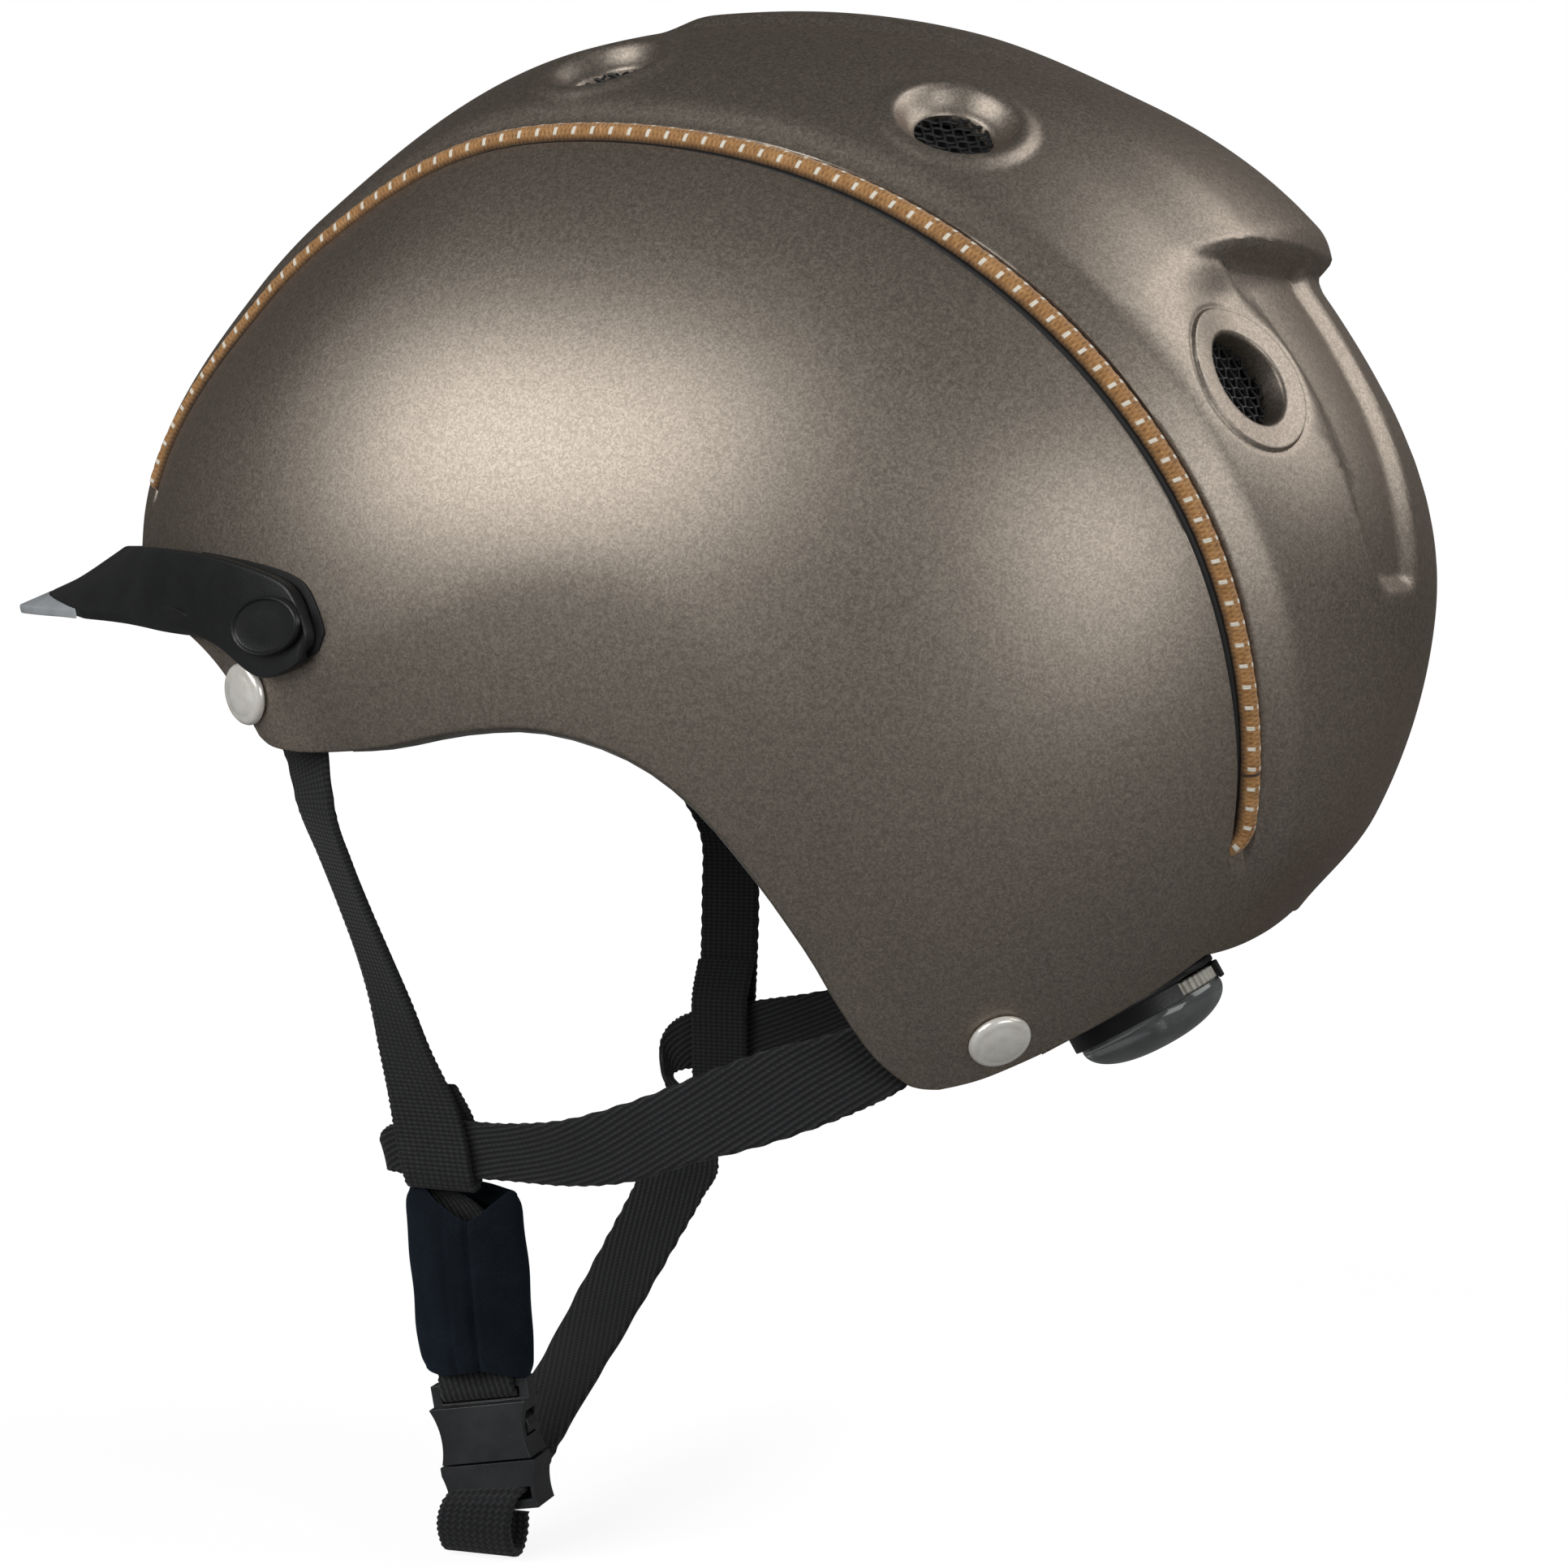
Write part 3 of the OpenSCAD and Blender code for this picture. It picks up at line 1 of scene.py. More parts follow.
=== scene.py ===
"""Looks of a riding helmet: fine surfaces, cords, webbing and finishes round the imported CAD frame.

Lengths are in millimetres until a mesh is made, and metres in Blender. The helmet faces -Y,
its left side is +X and +Z is up, as in the CAD.
"""
import math

import bmesh
import bpy
import numpy as np
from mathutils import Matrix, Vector

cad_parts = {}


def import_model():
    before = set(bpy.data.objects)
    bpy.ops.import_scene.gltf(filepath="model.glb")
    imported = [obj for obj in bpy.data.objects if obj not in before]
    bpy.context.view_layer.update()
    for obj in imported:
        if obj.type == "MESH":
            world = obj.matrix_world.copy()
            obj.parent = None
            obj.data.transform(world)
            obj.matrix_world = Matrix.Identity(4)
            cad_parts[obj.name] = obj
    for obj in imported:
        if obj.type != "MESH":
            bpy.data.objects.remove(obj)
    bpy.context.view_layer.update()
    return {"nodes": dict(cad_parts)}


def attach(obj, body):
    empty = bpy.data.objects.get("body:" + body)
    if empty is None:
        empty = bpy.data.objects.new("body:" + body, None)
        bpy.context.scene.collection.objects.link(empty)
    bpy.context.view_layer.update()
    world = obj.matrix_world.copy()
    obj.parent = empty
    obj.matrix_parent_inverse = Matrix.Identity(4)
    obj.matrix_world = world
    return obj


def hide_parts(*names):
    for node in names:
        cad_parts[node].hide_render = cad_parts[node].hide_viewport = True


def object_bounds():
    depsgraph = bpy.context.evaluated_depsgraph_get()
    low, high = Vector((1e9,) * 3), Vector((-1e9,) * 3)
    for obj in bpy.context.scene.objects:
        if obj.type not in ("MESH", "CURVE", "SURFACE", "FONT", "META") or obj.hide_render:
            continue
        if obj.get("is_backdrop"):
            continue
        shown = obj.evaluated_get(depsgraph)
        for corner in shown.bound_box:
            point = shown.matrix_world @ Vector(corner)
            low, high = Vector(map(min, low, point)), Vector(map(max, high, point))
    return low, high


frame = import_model()
nodes = frame["nodes"]

MM = 0.001
DOUBLES = 1e-6
SIDES = (("left", 1), ("right", -1))


# Numbers and curves

def ease(x, a, b):
    """Smooth step from 0 at a to 1 at b."""
    t = np.clip((x - a) / (b - a), 0.0, 1.0)
    return t * t * (3 - 2 * t)


def between(x, a, b, c, d):
    """Rises smoothly from 0 at a to 1 at b and falls to 0 again from c to d."""
    return ease(x, a, b) * (1 - ease(x, c, d))


def mix(a, b, t):
    return a + (b - a) * t


def unit(p):
    return p / np.linalg.norm(p, axis=-1, keepdims=True)


def curve(points, t):
    """Catmull-Rom curve through the points, at a whole or broken index t."""
    points = np.asarray(points, float)
    t = np.asarray(t, float)
    last = len(points) - 1
    ends = np.concatenate([[2 * points[0] - points[1]], points, [2 * points[-1] - points[-2]]])
    i = np.clip(np.floor(t), 0, last - 1).astype(int)
    f = t - i
    if points.ndim > 1:
        f = f[..., None]
    a, b, c, d = ends[i], ends[i + 1], ends[i + 2], ends[i + 3]
    return (2 * b + (c - a) * f + (2 * a - 5 * b + 4 * c - d) * f ** 2
            + (3 * b - a - 3 * c + d) * f ** 3) / 2


# Form of the shell, as the CAD gives it

HALF_WIDTH = 107.0
HALF_LENGTH = 131.5
CROWN_HEIGHT = 108.0
WAIST_LEVEL = 50.0
SHELL_WALL = 3.6
BAND_RISE = 2.4
SHOULDER_WIDTH = 9.0
RIB_RISE = 2.2
HOOD_RISE = 3.0
CHANNEL_DEPTH = 2.4
SKIRT_LEAN = 3.0
PIPING_D = 4.2
GROOVE_DEPTH = 2.5
PLAN_POWER = 2.2
FRONT_FLAT = 5.0
REAR_DROP = 4.5
COLUMN_STATIONS = 11.0
COLUMN_PITCH = 38.0
TRIM_DROP = 1.6
LOW_HEIGHT = 118.0
SIDE_REACH = 32.0
MEAN_RADIUS = 120.0
BAND_STEP = 0.5
BROW_TURNS = (4, 30, 40, 72)
BROW_LEANS = (24, 50)
DROP_TURNS = (148, 154, 156, 184)
DROP_LEANS = (22, 34)
GROOVE_TURNS = (5, 10, 205.5, 207)
BAND_END_TURNS = (202, 212)
RIB_TURNS = (80, 86, 112, 130)
RIB_LEANS = (11.5, 14.5)
HOOD_TURNS = (112, 146)
HOOD_LEANS = (18, 28)
LIP_RUN = 1.5
LEDGE_TURNS = (180, 181.5)
SKIRT_COLUMNS = (0.3, 1.5, 8, 10)
SKIRT_ROWS = (0.5, 0.9)
CORNER_FRONT = 12.0
CORNER_REAR = 18.0
CHANNEL_START = 149.5
CHANNEL_STEP = 6.3
CHANNEL_OUTER = [21.4, 17.8, 16.8, 16.9, 16.7, 14.4]
CHANNEL_INNER = [4.6, 4.6, 4.9, 5.6, 6.8, 7.8]
CENTRE = np.array([0.0, 0.5, WAIST_LEVEL])

PIPING_LEAN = [24, 22.8, 23.3, 27.9, 33.9, 39, 42.3, 43.5, 42.6, 39.3, 33.5, 26.1, 17]
CENTRE_TURN = [-3.5, 18, 38, 57, 76, 95, 114, 133, 152, 172, 192, 212]
PIPING_TURN = [-4, 16, 35, 53, 72, 91, 110, 128.5, 147, 167, 190, 216.5]
RIM = [[87, -76, 18], [92, -64, 16], [98, -49, 17], [103, -31, 20.5], [105, -14, 21.5], [105, 3, 17],
       [102.5, 16, 8], [98, 27, -6], [92, 35, -20], [86, 40.5, -32], [79, 46, -42], [69, 52, -48.5]]
MIDDLE = [[79, -93, 36], [86, -82, 53], [93, -63, 70], [98, -43, 80], [100.5, -20, 86], [101, 2, 85],
          [101, 22, 77], [100, 39, 64], [97, 53, 46], [91, 65, 24], [77, 77, -5], [57.5, 74.5, -37.5]]
DESIGN_CENTRE = np.array([0.0, 0.5, 50.0])


def heading(turn, lean):
    """Direction from the centre: turn runs from the front (0) over the crown (90), lean to the side."""
    a, p = np.radians(turn), np.radians(lean)
    return np.stack([np.sin(p), -np.cos(p) * np.cos(a), np.cos(p) * np.sin(a)], -1)


def turn_of(d):
    return (np.degrees(np.arctan2(d[..., 2], -d[..., 1])) + 450) % 360 - 90


def lean_of(d):
    return np.degrees(np.arcsin(np.clip(np.abs(d[..., 0]) / np.linalg.norm(d, axis=-1), 0, 1)))


def egg(d):
    """Radius of a superellipse plan with a round section, taller below the waist at the sides."""
    x, y, z = d[..., 0], d[..., 1], d[..., 2]
    sx, sy = (x / HALF_WIDTH) ** 2, (y / HALF_LENGTH) ** 2
    height = np.where(z >= 0, CROWN_HEIGHT, LOW_HEIGHT + SIDE_REACH * sx / (sx + sy + 1e-9))
    plan = (np.abs(x) / HALF_WIDTH) ** PLAN_POWER + (np.abs(y) / HALF_LENGTH) ** PLAN_POWER
    return 1 / np.sqrt(plan ** (2 / PLAN_POWER) + (z / height) ** 2)


def broad(d):
    """The egg, flatter at the front and lower at the rear of the crown."""
    a, phi = turn_of(d), lean_of(d)
    front = FRONT_FLAT * between(a, *BROW_TURNS) * (1 - ease(phi, *BROW_LEANS))
    rear = REAR_DROP * between(a, *DROP_TURNS) * (1 - ease(phi, *DROP_LEANS))
    return egg(d) - front - rear


def piping_lean(a):
    return curve(PIPING_LEAN, (a + 20) / 20)


def out_to(p):
    return unit(p) * broad(unit(p))[..., None]


def rim_at(u):
    return out_to(curve(RIM, u) - DESIGN_CENTRE)


def middle_at(u):
    return out_to(curve(MIDDLE, u) - DESIGN_CENTRE)


def piping_at(u):
    a = curve(PIPING_TURN, u)
    return out_to(heading(a, piping_lean(a)))


def side_length(u):
    return np.linalg.norm(rim_at(u) - 4 * middle_at(u) + 3 * piping_at(u), axis=-1)


def round_off(x, y, r):
    """Rounds a corner of the net: x and y are the distances from its two edges, r the size of the round."""
    a, b = 1 - x / r, 1 - y / r
    near = (a > 0) & (b > 0)
    a, b = np.where(near, a, 0), np.where(near, b, 0)
    return (np.where(near, r * (1 - a * np.sqrt(1 - b * b / 2)), x),
            np.where(near, r * (1 - b * np.sqrt(1 - a * a / 2)), y))


def direction(u, v):
    """Direction from CENTRE to a place of the shell's net, with its corners rounded. Columns u run from
    brow to nape, rows v from the rim (0) over the piping (1) to the middle (2)."""
    u, v = np.broadcast_arrays(np.asarray(u, float), np.asarray(v, float))
    front, length = u < COLUMN_STATIONS / 2, side_length(u)
    x, y = round_off(np.where(front, u, COLUMN_STATIONS - u) * COLUMN_PITCH + TRIM_DROP,
                     v * length + TRIM_DROP, TRIM_DROP + np.where(front, CORNER_FRONT, CORNER_REAR))
    x = (x - TRIM_DROP) / COLUMN_PITCH
    return net_direction(np.where(front, x, COLUMN_STATIONS - x), (y - TRIM_DROP) / length)


def net_direction(u, v):
    """Direction of a place of the net before its corners are rounded."""
    t = v[..., None]
    side = (rim_at(u) * (2 * t - 1) * (t - 1) + middle_at(u) * 4 * t * (1 - t)
            + piping_at(u) * t * (2 * t - 1))
    a = curve(PIPING_TURN, u)
    w = v - 1
    crown = heading(mix(a, curve(CENTRE_TURN, u), w), piping_lean(a) * (1 - w))
    return np.where(t <= 1, unit(side), crown)


def row_off(u, e):
    """Row that lies e mm inside (+) or outside (-) the piping line."""
    band_width = piping_lean(curve(PIPING_TURN, u)) * np.pi / 180 * np.linalg.norm(piping_at(u), axis=-1)
    return np.where(e < 0, 1 + e / side_length(u), 1 + e / band_width)


GROOVE_HALF = PIPING_D / 2 + 0.15
CREST = GROOVE_HALF + SHOULDER_WIDTH
CREASE_DROP = 25.0
CREASE_SOFT = 0.1
LIP_TURN = 151.0


def lip_turn(phi):
    """Turn at which the hood's lip stands: it runs a little forward to the sides."""
    return LIP_TURN - 4 * (phi / 27) ** 2


def band_at(a, phi):
    """Distance in mm inside the piping line, and the height of the band's shoulder there."""
    e = np.radians(piping_lean(a) - phi) * MEAN_RADIUS
    return e, BAND_STEP * ease(e, 0, GROOVE_HALF) + (BAND_RISE - BAND_STEP) * ease(e, GROOVE_HALF, CREST)


def relief(u, v):
    """Height over the broad form: band shoulder, piping groove, crown rib, hood, channels and skirt."""
    d = direction(u, v)
    a, phi = turn_of(d), lean_of(d)
    e, band = band_at(a, phi)
    groove = -GROOVE_DEPTH * (1 - ease(np.abs(e), GROOVE_HALF - 0.1, GROOVE_HALF + 0.7))
    rib = RIB_RISE * between(a, *RIB_TURNS) * (1 - ease(phi, *RIB_LEANS))
    lip = lip_turn(phi)
    hood = HOOD_RISE * between(a, *HOOD_TURNS, lip, lip + LIP_RUN) * (1 - ease(phi, *HOOD_LEANS))
    place = np.clip((a - CHANNEL_START) / CHANNEL_STEP, 0, 5)
    near, far = phi - curve(CHANNEL_INNER, place), phi - curve(CHANNEL_OUTER, place)
    channel = (-CHANNEL_DEPTH * between(a, lip, lip + LIP_RUN, *LEDGE_TURNS)
               * ease(near, -1.1, 1.1) * (1 - ease(far, -1, 1)))
    drop = 1 - v * side_length(u) / CREASE_DROP
    soft = (np.sqrt(drop ** 2 + CREASE_SOFT ** 2) + drop) / 2 * (drop > -3)
    skirt = -SKIRT_LEAN * soft * between(u, *SKIRT_COLUMNS) * (1 - ease(v, *SKIRT_ROWS))
    return (band * (1 - ease(a, *BAND_END_TURNS)) + groove * between(a, *GROOVE_TURNS)
            + rib + hood + channel + skirt)


def skirt_only(u, v):
    """The skirt's lean without the soft crease, as the inner skin has it."""
    drop = np.clip(1 - v * side_length(u) / CREASE_DROP, 0, 1)
    return -SKIRT_LEAN * drop * between(u, *SKIRT_COLUMNS)


def rim_distance(u, v):
    """Distance in mm from the shell's edge."""
    ends = np.minimum(u, COLUMN_STATIONS - u) * COLUMN_PITCH
    return np.minimum(v * side_length(u), ends)


def outer(u, v, off=0.0):
    """Outer skin with its relief, off mm further out."""
    d = direction(u, v)
    return CENTRE + d * (broad(d) + relief(u, v) + off)[..., None]


def inner(u, v, off):
    """Smooth surface off mm inside the broad form."""
    d = direction(u, v)
    return CENTRE + d * (broad(d) - off + skirt_only(u, v))[..., None]


def skin(turn, lean):
    d = heading(turn, lean)
    return CENTRE + d * broad(d)[..., None]


def spot_axes(spot):
    """Place, rearward, upward and outward directions of a spot on the skin, as the CAD's on_skin."""
    a, phi = float(spot[0]), float(spot[1])
    n = unit(np.cross(skin(a + 1, phi) - skin(a - 1, phi), skin(a, phi + 1) - skin(a, phi - 1)))
    n = n * np.sign(n @ heading(a, phi))
    s = unit(np.cross([0, 0, 1], n))
    return skin(a, phi), s, np.cross(n, s), n


def on_skin(spot, points, side=1):
    """Points given as rearward, upward, outward at a spot of the left side, or of the right one."""
    p, s, t, n = spot_axes(spot)
    q = p + points[..., :1] * s + points[..., 1:2] * t + points[..., 2:] * n
    return q * np.array([side, 1, 1])


# Meshes

def mesh_of(name, points, faces, sharp=35.0, uv=None, outward=False, merge=None):
    """Mesh object from points in mm and a list of face index arrays, smooth but for edges over sharp
    degrees. Doubles nearer than merge metres are joined, and the faces of a closed mesh turned outwards."""
    mesh = bpy.data.meshes.new(name)
    co = np.asarray(points, float).reshape(-1, 3) * MM
    loops = np.concatenate([f.ravel() for f in faces]).astype(np.int32)
    sizes = np.concatenate([np.full(len(f), f.shape[1]) for f in faces])
    starts = np.concatenate([[0], np.cumsum(sizes)[:-1]]).astype(np.int32)
    mesh.vertices.add(len(co))
    mesh.vertices.foreach_set("co", co.astype(np.float32).ravel())
    mesh.loops.add(len(loops))
    mesh.loops.foreach_set("vertex_index", loops)
    mesh.polygons.add(len(sizes))
    mesh.polygons.foreach_set("loop_start", starts)
    mesh.update(calc_edges=True)
    mesh.polygons.foreach_set("use_smooth", np.ones(len(sizes), bool))
    if uv is not None:
        layer = mesh.uv_layers.new(name="UVMap")
        layer.data.foreach_set("uv", np.asarray(uv, np.float32).reshape(-1, 2)[loops].ravel())
    if outward or merge:
        work = bmesh.new()
        work.from_mesh(mesh)
        if merge:
            bmesh.ops.remove_doubles(work, verts=work.verts, dist=merge)
        bmesh.ops.recalc_face_normals(work, faces=work.faces)
        work.to_mesh(mesh)
        work.free()
    mesh.set_sharp_from_angle(angle=math.radians(sharp))
    return linked(name, mesh)


def linked(name, data):
    """Object of these data, in the scene."""
    obj = bpy.data.objects.new(name, data)
    bpy.context.scene.collection.objects.link(obj)
    return obj


def quads(rows, cols, wrap_rows=False, wrap_cols=False, base=0):
    """Index array of the quads of a grid of points, closed round either way. base is the first point's
    index, or the indices of all of them."""
    i = np.arange(rows if wrap_rows else rows - 1)[:, None]
    j = np.arange(cols if wrap_cols else cols - 1)[None, :]
    i2, j2 = (i + 1) % rows, (j + 1) % cols
    corners = np.broadcast_arrays(i * cols + j, i2 * cols + j, i2 * cols + j2, i * cols + j2)
    corners = np.stack(corners, -1).reshape(-1, 4)
    return base + corners if np.ndim(base) == 0 else base.ravel()[corners]


def lathe(name, profile, sides=96, sharp=35.0, place=None):
    """Solid of revolution: the profile's (radius, height) points carried round Z, closed at the axis."""
    profile = np.asarray(profile, float)
    w = np.linspace(0, 2 * np.pi, sides, endpoint=False)
    r, z = profile[:, 0][:, None], profile[:, 1][:, None]
    pts = np.stack([r * np.cos(w), r * np.sin(w), z + 0 * w], -1)
    pts = pts if place is None else place(pts)
    return mesh_of(name, pts, [quads(len(profile), sides, wrap_cols=True)], sharp, merge=DOUBLES)


def tube(path, radius, sides=12, up=(0, 0, 1.0)):
    """Rings of points of a round tube, one across each place of the path."""
    path = np.asarray(path, float)
    run = unit(np.gradient(path, axis=0))
    side = unit(np.cross(run, np.asarray(up, float) + 1e-6))
    top = np.cross(side, run)
    w = np.linspace(0, 2 * np.pi, sides, endpoint=False)
    radius = np.broadcast_to(np.asarray(radius, float), (len(path),))
    ring = side[:, None] * np.cos(w)[:, None] + top[:, None] * np.sin(w)[:, None]
    return path[:, None] + ring * radius[:, None, None]


def capped(rings, ends=None, wrap=True, base=0):
    """Points and faces of a solid through rings of points, with a fan round a middle point at both ends."""
    n, m = rings.shape[:2]
    ends = rings[[0, -1]].mean(1) if ends is None else np.asarray(ends)
    k = np.arange(m if wrap else m - 1)
    after, last = (k + 1) % m, (n - 1) * m
    faces = [quads(n, m, wrap_cols=wrap, base=base),
             base + np.stack([after, k, np.full(len(k), n * m)], 1),
             base + np.stack([last + k, last + after, np.full(len(k), n * m + 1)], 1)]
    return np.concatenate([rings.reshape(-1, 3), ends]), faces


def mirror_x(points):
    return points * np.array([-1.0, 1, 1])


def sided(points, side):
    """Points of the left side (1), or their mirror image on the right one (-1)."""
    return mirror_x(points) if side < 0 else points


def finish_piece(obj, mat, body="root", node=None):
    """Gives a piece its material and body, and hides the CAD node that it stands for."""
    obj.data.materials.clear()
    obj.data.materials.append(mat)
    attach(obj, body)
    if node:
        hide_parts(node)
    return obj


# Materials

def linear(code):
    """sRGB hex to linear colour with alpha."""
    rgb = [int(code[i:i + 2], 16) / 255 for i in (1, 3, 5)]
    return tuple(c / 12.92 if c <= 0.04045 else ((c + 0.055) / 1.055) ** 2.4 for c in rgb) + (1.0,)


def set_stops(elements, stops):
    """Gives a ramp the (place, colour) pairs."""
    for _ in stops[2:]:
        elements.new(0.5)
    for element, (place, code) in zip(elements, stops):
        element.position = place
        element.color = linear(code)


def node_adder(tree):
    """Empties a node tree and returns the function that adds a node to it."""
    tree.nodes.clear()

    def add(kind, inputs=(), out=0, stops=None, **settings):
        """Adds a node and returns one of its outputs, or the node where out is None. inputs come in their
        order or by number, settings by name with _ for a space. Sockets are linked, hex colours made
        linear; stops are the (place, colour) pairs of a ramp."""
        made = tree.nodes.new(kind)
        numbered = inputs.items() if isinstance(inputs, dict) else enumerate(inputs)
        for key, value in [*settings.items(), *numbered]:
            if isinstance(key, str) and hasattr(made, key):
                setattr(made, key, value)
                continue
            socket = made.inputs[key if isinstance(key, int) else key.replace("_", " ")]
            if isinstance(value, bpy.types.NodeSocket):
                tree.links.new(value, socket)
            else:
                socket.default_value = linear(value) if isinstance(value, str) else value
        if stops:
            set_stops(made.color_ramp.elements, stops)
        return made if out is None else made.outputs[out]

    return add


def material(name):
    """Empty node material, and the function that adds a node to it."""
    mat = bpy.data.materials.new(name)
    mat.use_nodes = True
    return mat, node_adder(mat.node_tree)


def surface(mat, add, **looks):
    """The material with a Principled shader of these looks."""
    shader = add("ShaderNodeBsdfPrincipled", **looks)
    add("ShaderNodeOutputMaterial", out=None, Surface=shader)
    return mat


def grain(size, detail=2.0, rough=0.5):
    """Settings of a noise whose grains are about size mm across."""
    return {"Scale": 1 / (size * MM), "Detail": detail, "Roughness": rough}


def weighted(add, *pairs):
    """Sum of sockets times their weights."""
    total = 0.0
    for socket, weight in pairs:
        total = add("ShaderNodeMath", [socket, weight, total], operation="MULTIPLY_ADD")
    return total


def window(add, value, low, high, soft):
    """1 where value lies between low and high, with soft edges."""
    edges = [add("ShaderNodeMapRange", Value=value, interpolation_type="SMOOTHSTEP", From_Min=edge - soft,
                 From_Max=edge + soft, To_Min=start, To_Max=1 - start)
             for edge, start in ((low, 0.0), (high, 1.0))]
    return add("ShaderNodeMath", edges, operation="MULTIPLY")


def mottled(name, stops, patches, roughness, fine=None, deep=0.0, strength=0.5, **looks):
    """Material whose colour wanders through the stops in patches, over a fine grain deep metres high.
    roughness is one value, or the pair that the grain moves it between."""
    mat, add = material(name)
    coords = add("ShaderNodeTexCoord", out="Object")
    patch = add("ShaderNodeTexNoise", Vector=coords, **patches)
    looks["Base_Color"] = add("ShaderNodeValToRGB", [patch], stops=stops)
    looks["Roughness"] = roughness
    if fine:
        height = add("ShaderNodeTexNoise", Vector=coords, **fine)
        looks["Normal"] = add("ShaderNodeBump", Height=height, Strength=strength, Distance=deep)
        if isinstance(roughness, tuple):
            least, most = roughness
            looks["Roughness"] = add("ShaderNodeMapRange", Value=height, To_Min=least, To_Max=most)
    return surface(mat, add, **looks)


def moulded_plastic(name, tones, roughness, grain_mm, deep):
    """Injection-moulded plastic with a fine spark-eroded grain."""
    return mottled(name, list(zip((0.3, 0.5, 0.72), tones)), grain(12.0, 3.0, 0.6),
                   (roughness - 0.06, roughness + 0.08), grain(grain_mm, 2.0, 0.55), deep, 0.7)


def shell_paint():
    """Two-coat metallic paint on moulded ABS, matt clear coat: soft wide highlights, a fine flake
    that sparkles, beige where light falls straight on and mauve-brown at grazing angles."""
    mat, add = material("metallic_taupe_paint")
    coords = add("ShaderNodeTexCoord", out="Object")
    cells = add("ShaderNodeTexVoronoi", out="Color", Vector=coords, Scale=1 / (0.35 * MM))
    flake = add("ShaderNodeSeparateColor", Color=cells)
    clouds = add("ShaderNodeTexNoise", Vector=coords, **grain(0.9, 3.0, 0.6))
    blend = weighted(add, (flake, 0.45), (clouds, 0.55))
    tones = [(0.25, "#837A70"), (0.5, "#948A7F"), (0.75, "#A59B8F")]
    haze = add("ShaderNodeMapRange", Value=clouds, From_Min=0.3, From_Max=0.7, To_Min=0.40, To_Max=0.47)
    return surface(
        mat, add, Base_Color=add("ShaderNodeValToRGB", [blend], stops=tones), Metallic=0.85, Roughness=haze,
        Specular_Tint="#B49C94", Coat_Weight=0.25, Coat_Roughness=0.45,
        Normal=add("ShaderNodeBump", Height=blend, Strength=0.35, Distance=0.00002))


# Shell

VENTS = [[78.4, 25.6], [122.3, 30.5], [161.2, 25.6]]
HOLE_R = [7.4, 7.4, 9.2]
PATCH_REACH = 17.5
CROWN_RINGS = [0, 0.15, 0.4, 0.8, 1.3, 1.9, 2.5, 3.1, 3.7, 4.3, 4.9, 5.5, 6.1, 6.8, 7.5, 8.2, 8.9]
REAR_RINGS = [0, 0.12, 0.3, 0.55, 0.9, 1.5, 2.6, 3.8, 4.5, 4.75, 4.95, 5.15, 5.4, 5.7, 6.1, 6.6, 7.1]
COARSE = 3
RIM_ROUND = 0.9
RIM_STEPS = np.array([0, 0.12, 0.3, 0.6, 1.0])
GROOVE_STEPS = [-4.2, -3.5, -2.95, -2.75, -2.55, -2.35, -2.15, -1.2, 0, 1.2, 2.15, 2.35, 2.55, 2.75, 2.95,
                3.5, 4.4, 5.6, 7, 8.4, 9.8, 11, 12.2]
RING_RISE = 0.9
DISH_DEEP = 4.1
LIP_FALL = 0.5
COLLAR_LIP = 0.8
SLOPE_STEP = 0.02
COLUMN_SPACING = 1.62
CLOSE_TURNS = [(144, 147, 152.5, 155), (178, 179.5, 182, 184)]
SIDE_ROWS = 42
BAND_ROWS = 40


def crown_dish(r):
    """Height of a crown vent at radius r: a soft raised ring round a deep dish with a rounded lip."""
    return (RING_RISE * (1 - ease(r, 12.9, 15.9)) - DISH_DEEP * (1 - ease(r, 7.4, 12.2))
            - LIP_FALL * np.clip((8.0 - r) / 0.6, 0, 1) ** 2)


def rear_collar(r):
    """Height of a rear vent at radius r: a flat collar with a fine step at its edge and a rounded lip."""
    flat = mix(-0.45 + r ** 2 / 230, -0.25, ease(r, 14.05, 14.5))
    lip = COLLAR_LIP * (1 - np.sqrt(1 - np.clip((10.0 - r) / COLLAR_LIP, 0, 1) ** 2))
    return flat * (1 - ease(r, 14.7, 15.5)) - lip


def smooth(u, v):
    return inner(u, v, 0.0)


def solve_places(place, normal, wanted, start):
    """Columns and rows whose points on the smooth surface lie at the wanted places of a tangent plane.
    wanted holds two lengths along the plane's axes; returns also those axes."""
    u0, v0 = start
    du = (smooth(u0 + SLOPE_STEP, v0) - smooth(u0 - SLOPE_STEP, v0)) / (2 * SLOPE_STEP)
    dv = (smooth(u0, v0 + SLOPE_STEP) - smooth(u0, v0 - SLOPE_STEP)) / (2 * SLOPE_STEP)
    first = unit(du - normal * (du @ normal))
    second = np.cross(normal, first)
    second = second * np.sign(second @ dv)
    slopes = np.linalg.inv(np.array([[du @ first, dv @ first], [du @ second, dv @ second]]))
    u, v = np.full(wanted.shape[:-1], float(u0)), np.full(wanted.shape[:-1], float(v0))
    for _ in range(14):
        q = smooth(u, v) - place
        step = (wanted - np.stack([q @ first, q @ second], -1)) @ slopes.T
        u, v = u + step[..., 0], v + step[..., 1]
    return u, v, first, second


